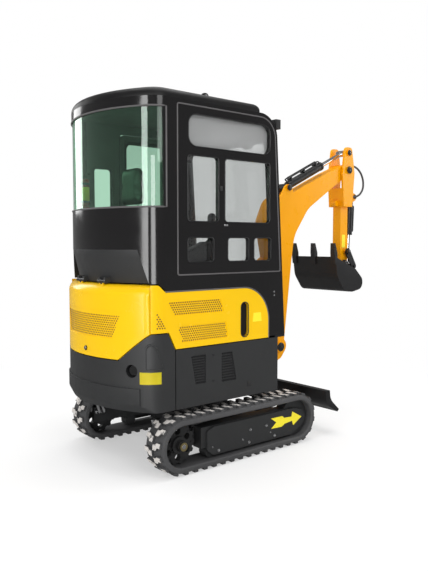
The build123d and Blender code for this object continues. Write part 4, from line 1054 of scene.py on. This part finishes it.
# White floor: it keeps the shadow near the machine, fades out further off, and is dim in reflections
def addFloor():
    bm = bmesh.new()
    bmesh.ops.create_grid(bm, x_segments=1, y_segments=1, size=floorLook["half"])
    mesh = bpy.data.meshes.new("studioFloor")
    bm.to_mesh(mesh)
    bm.free()
    floor = bpy.data.objects.new("studioFloor", mesh)
    bpy.context.scene.collection.objects.link(floor)
    floor.location.z = cadBox[0].z - floorLook["gap"]
    mat, tree, shader, coords = nodeTree("floorWhite")
    grey = floorLook["grey"]
    shader.inputs["Base Color"].default_value = (grey, grey, grey, 1.0)
    shader.inputs["Roughness"].default_value = floorLook["rough"]
    shader.inputs["Specular IOR Level"].default_value = floorLook["level"]
    white = tree.nodes.new("ShaderNodeEmission")
    white.inputs["Color"].default_value = (1.0, 1.0, 1.0, 1.0)
    dim = tree.nodes.new("ShaderNodeEmission")
    dim.inputs["Strength"].default_value = floorLook["reflected"]
    reach = tree.nodes.new("ShaderNodeVectorMath")
    reach.operation = "LENGTH"
    tree.links.new(coords.outputs["Object"], reach.inputs[0])
    far = addRange(tree, reach.outputs["Value"], floorLook["near"], 1.0, *floorLook["fade"])
    both = tree.nodes.new("ShaderNodeMath")
    both.operation = "MULTIPLY"
    direct, glossy = rayKinds(tree)
    tree.links.new(far, both.inputs[0])
    tree.links.new(direct, both.inputs[1])
    blend = addBlend(tree, both.outputs[0], shader.outputs[0], white.outputs[0])
    mirrored = addBlend(tree, glossy, blend, dim.outputs[0])
    tree.links.new(mirrored, tree.nodes["Material Output"].inputs["Surface"])
    mesh.materials.append(mat)


def addBlend(tree, factor, first, second):
    blend = tree.nodes.new("ShaderNodeMixShader")
    for socket, value in zip(blend.inputs, (factor, first, second)):
        tree.links.new(value, socket)
    return blend.outputs[0]


# Rays that see the background as it is, and rays that mirror it
def rayKinds(tree):
    rays = tree.nodes.new("ShaderNodeLightPath")
    direct = tree.nodes.new("ShaderNodeMath")
    direct.operation = "MAXIMUM"
    tree.links.new(rays.outputs["Is Camera Ray"], direct.inputs[0])
    tree.links.new(rays.outputs["Is Transmission Ray"], direct.inputs[1])
    mirrored = tree.nodes.new("ShaderNodeMath")
    mirrored.operation = "SUBTRACT"
    mirrored.use_clamp = True
    tree.links.new(rays.outputs["Is Glossy Ray"], mirrored.inputs[0])
    tree.links.new(rays.outputs["Is Transmission Ray"], mirrored.inputs[1])
    return direct.outputs[0], mirrored.outputs[0]


glow = {"seen": 1.0, "reflected": 0.22, "lit": 0.62}


def addWorld():
    world = bpy.data.worlds.new("studio")
    bpy.context.scene.world = world
    world.use_nodes = True
    tree = world.node_tree
    back = tree.nodes["Background"]
    back.inputs["Color"].default_value = (1.0, 1.0, 1.0, 1.0)
    direct, mirrored = rayKinds(tree)
    choose = tree.nodes.new("ShaderNodeMix")
    choose.inputs["B"].default_value = glow["seen"]
    tree.links.new(direct, choose.inputs["Factor"])
    tree.links.new(addRange(tree, mirrored, glow["lit"], glow["reflected"], 0.0, 1.0), choose.inputs["A"])
    tree.links.new(choose.outputs["Result"], back.inputs["Strength"])


lamps = {  # place, aim, size in metres and power in watts
    "keyBox": ((4.8, -1.2, 3.6), (0.0, 0.0, 0.9), (2.2, 2.6), 62),
    "rearStrip": ((1.5, -5.2, 1.9), (0.2, 0.0, 1.2), (0.8, 3.4), 75),
    "leftBox": ((-4.8, -1.4, 3.0), (0.0, 0.0, 1.0), (1.8, 2.6), 60),
    "topBox": ((0.0, 0.2, 5.6), (0.0, 0.0, 0.0), (4.2, 4.2), 165),
    "frontBox": ((2.0, 5.4, 3.0), (0.0, 0.4, 1.0), (2.4, 2.4), 70),
}


def aimAt(holder, place, aim):
    holder.location = place
    holder.rotation_mode = "QUATERNION"
    holder.rotation_quaternion = (Vector(aim) - Vector(place)).to_track_quat("-Z", "Y")


def addLamps():
    for name, (place, aim, size, watts) in lamps.items():
        lamp = bpy.data.lights.new(name, "AREA")
        lamp.shape = "RECTANGLE"
        lamp.size, lamp.size_y = size
        lamp.energy = watts
        holder = bpy.data.objects.new(name, lamp)
        bpy.context.scene.collection.objects.link(holder)
        aimAt(holder, place, aim)


card = {"place": (5.2, -5.6, 1.4), "aim": (0.48, -0.70, 1.4), "size": (2.6, 2.8), "strength": 9.0}


def addCard():
    bm = bmesh.new()
    bmesh.ops.create_grid(bm, x_segments=1, y_segments=1, size=0.5)
    bmesh.ops.scale(bm, vec=(*card["size"], 1.0), verts=bm.verts[:])
    mesh = bpy.data.meshes.new("studioCard")
    bm.to_mesh(mesh)
    bm.free()
    obj = bpy.data.objects.new("studioCard", mesh)
    bpy.context.scene.collection.objects.link(obj)
    aimAt(obj, card["place"], card["aim"])
    obj.visible_camera = obj.visible_diffuse = obj.visible_transmission = obj.visible_shadow = False
    mat = bpy.data.materials.new("cardGlow")
    mat.use_nodes = True
    tree = mat.node_tree
    lit = tree.nodes.new("ShaderNodeEmission")
    lit.inputs["Strength"].default_value = card["strength"]
    tree.links.new(lit.outputs[0], tree.nodes["Material Output"].inputs["Surface"])
    mesh.materials.append(mat)


view = {
    "place": (3.5236, -2.7298, 1.3720),
    "yaw": 50.39,
    "pitch": 3.73,
    "focalPixels": 644.25,
    "imageHeight": 571.0,
    "sensor": 36.0,
    "far": 200.0,
}


def addCamera():
    yaw, pitch = math.radians(view["yaw"]), math.radians(view["pitch"])
    forward = Vector((-math.sin(yaw) * math.cos(pitch), math.cos(yaw) * math.cos(pitch), -math.sin(pitch)))
    data = bpy.data.cameras.new("photoCamera")
    data.sensor_width = view["sensor"]
    data.lens = view["sensor"] * view["focalPixels"] / view["imageHeight"]
    data.clip_end = view["far"]
    camera = bpy.data.objects.new("photoCamera", data)
    bpy.context.scene.collection.objects.link(camera)
    camera.location = view["place"]
    camera.rotation_mode = "QUATERNION"
    camera.rotation_quaternion = forward.to_track_quat("-Z", "Y")
    bpy.context.scene.camera = camera


paintNodes()
softenNodes()
paintParts()
print("materials on", sum(len(v.split()) for v in nodePaint.values()), "of", len(nodes), "nodes")
makeTrack("trackRight", 1, "track_right")
makeTrack("trackLeft", -1, "track_left")
makeUndercarriage()
makeHouse()
makeCab()
makeArm()
makeSeat()
addFloor()
addWorld()
addLamps()
addCard()
addCamera()
bpy.context.scene.view_settings.view_transform = "Standard"
print("stage, lamps and camera set")
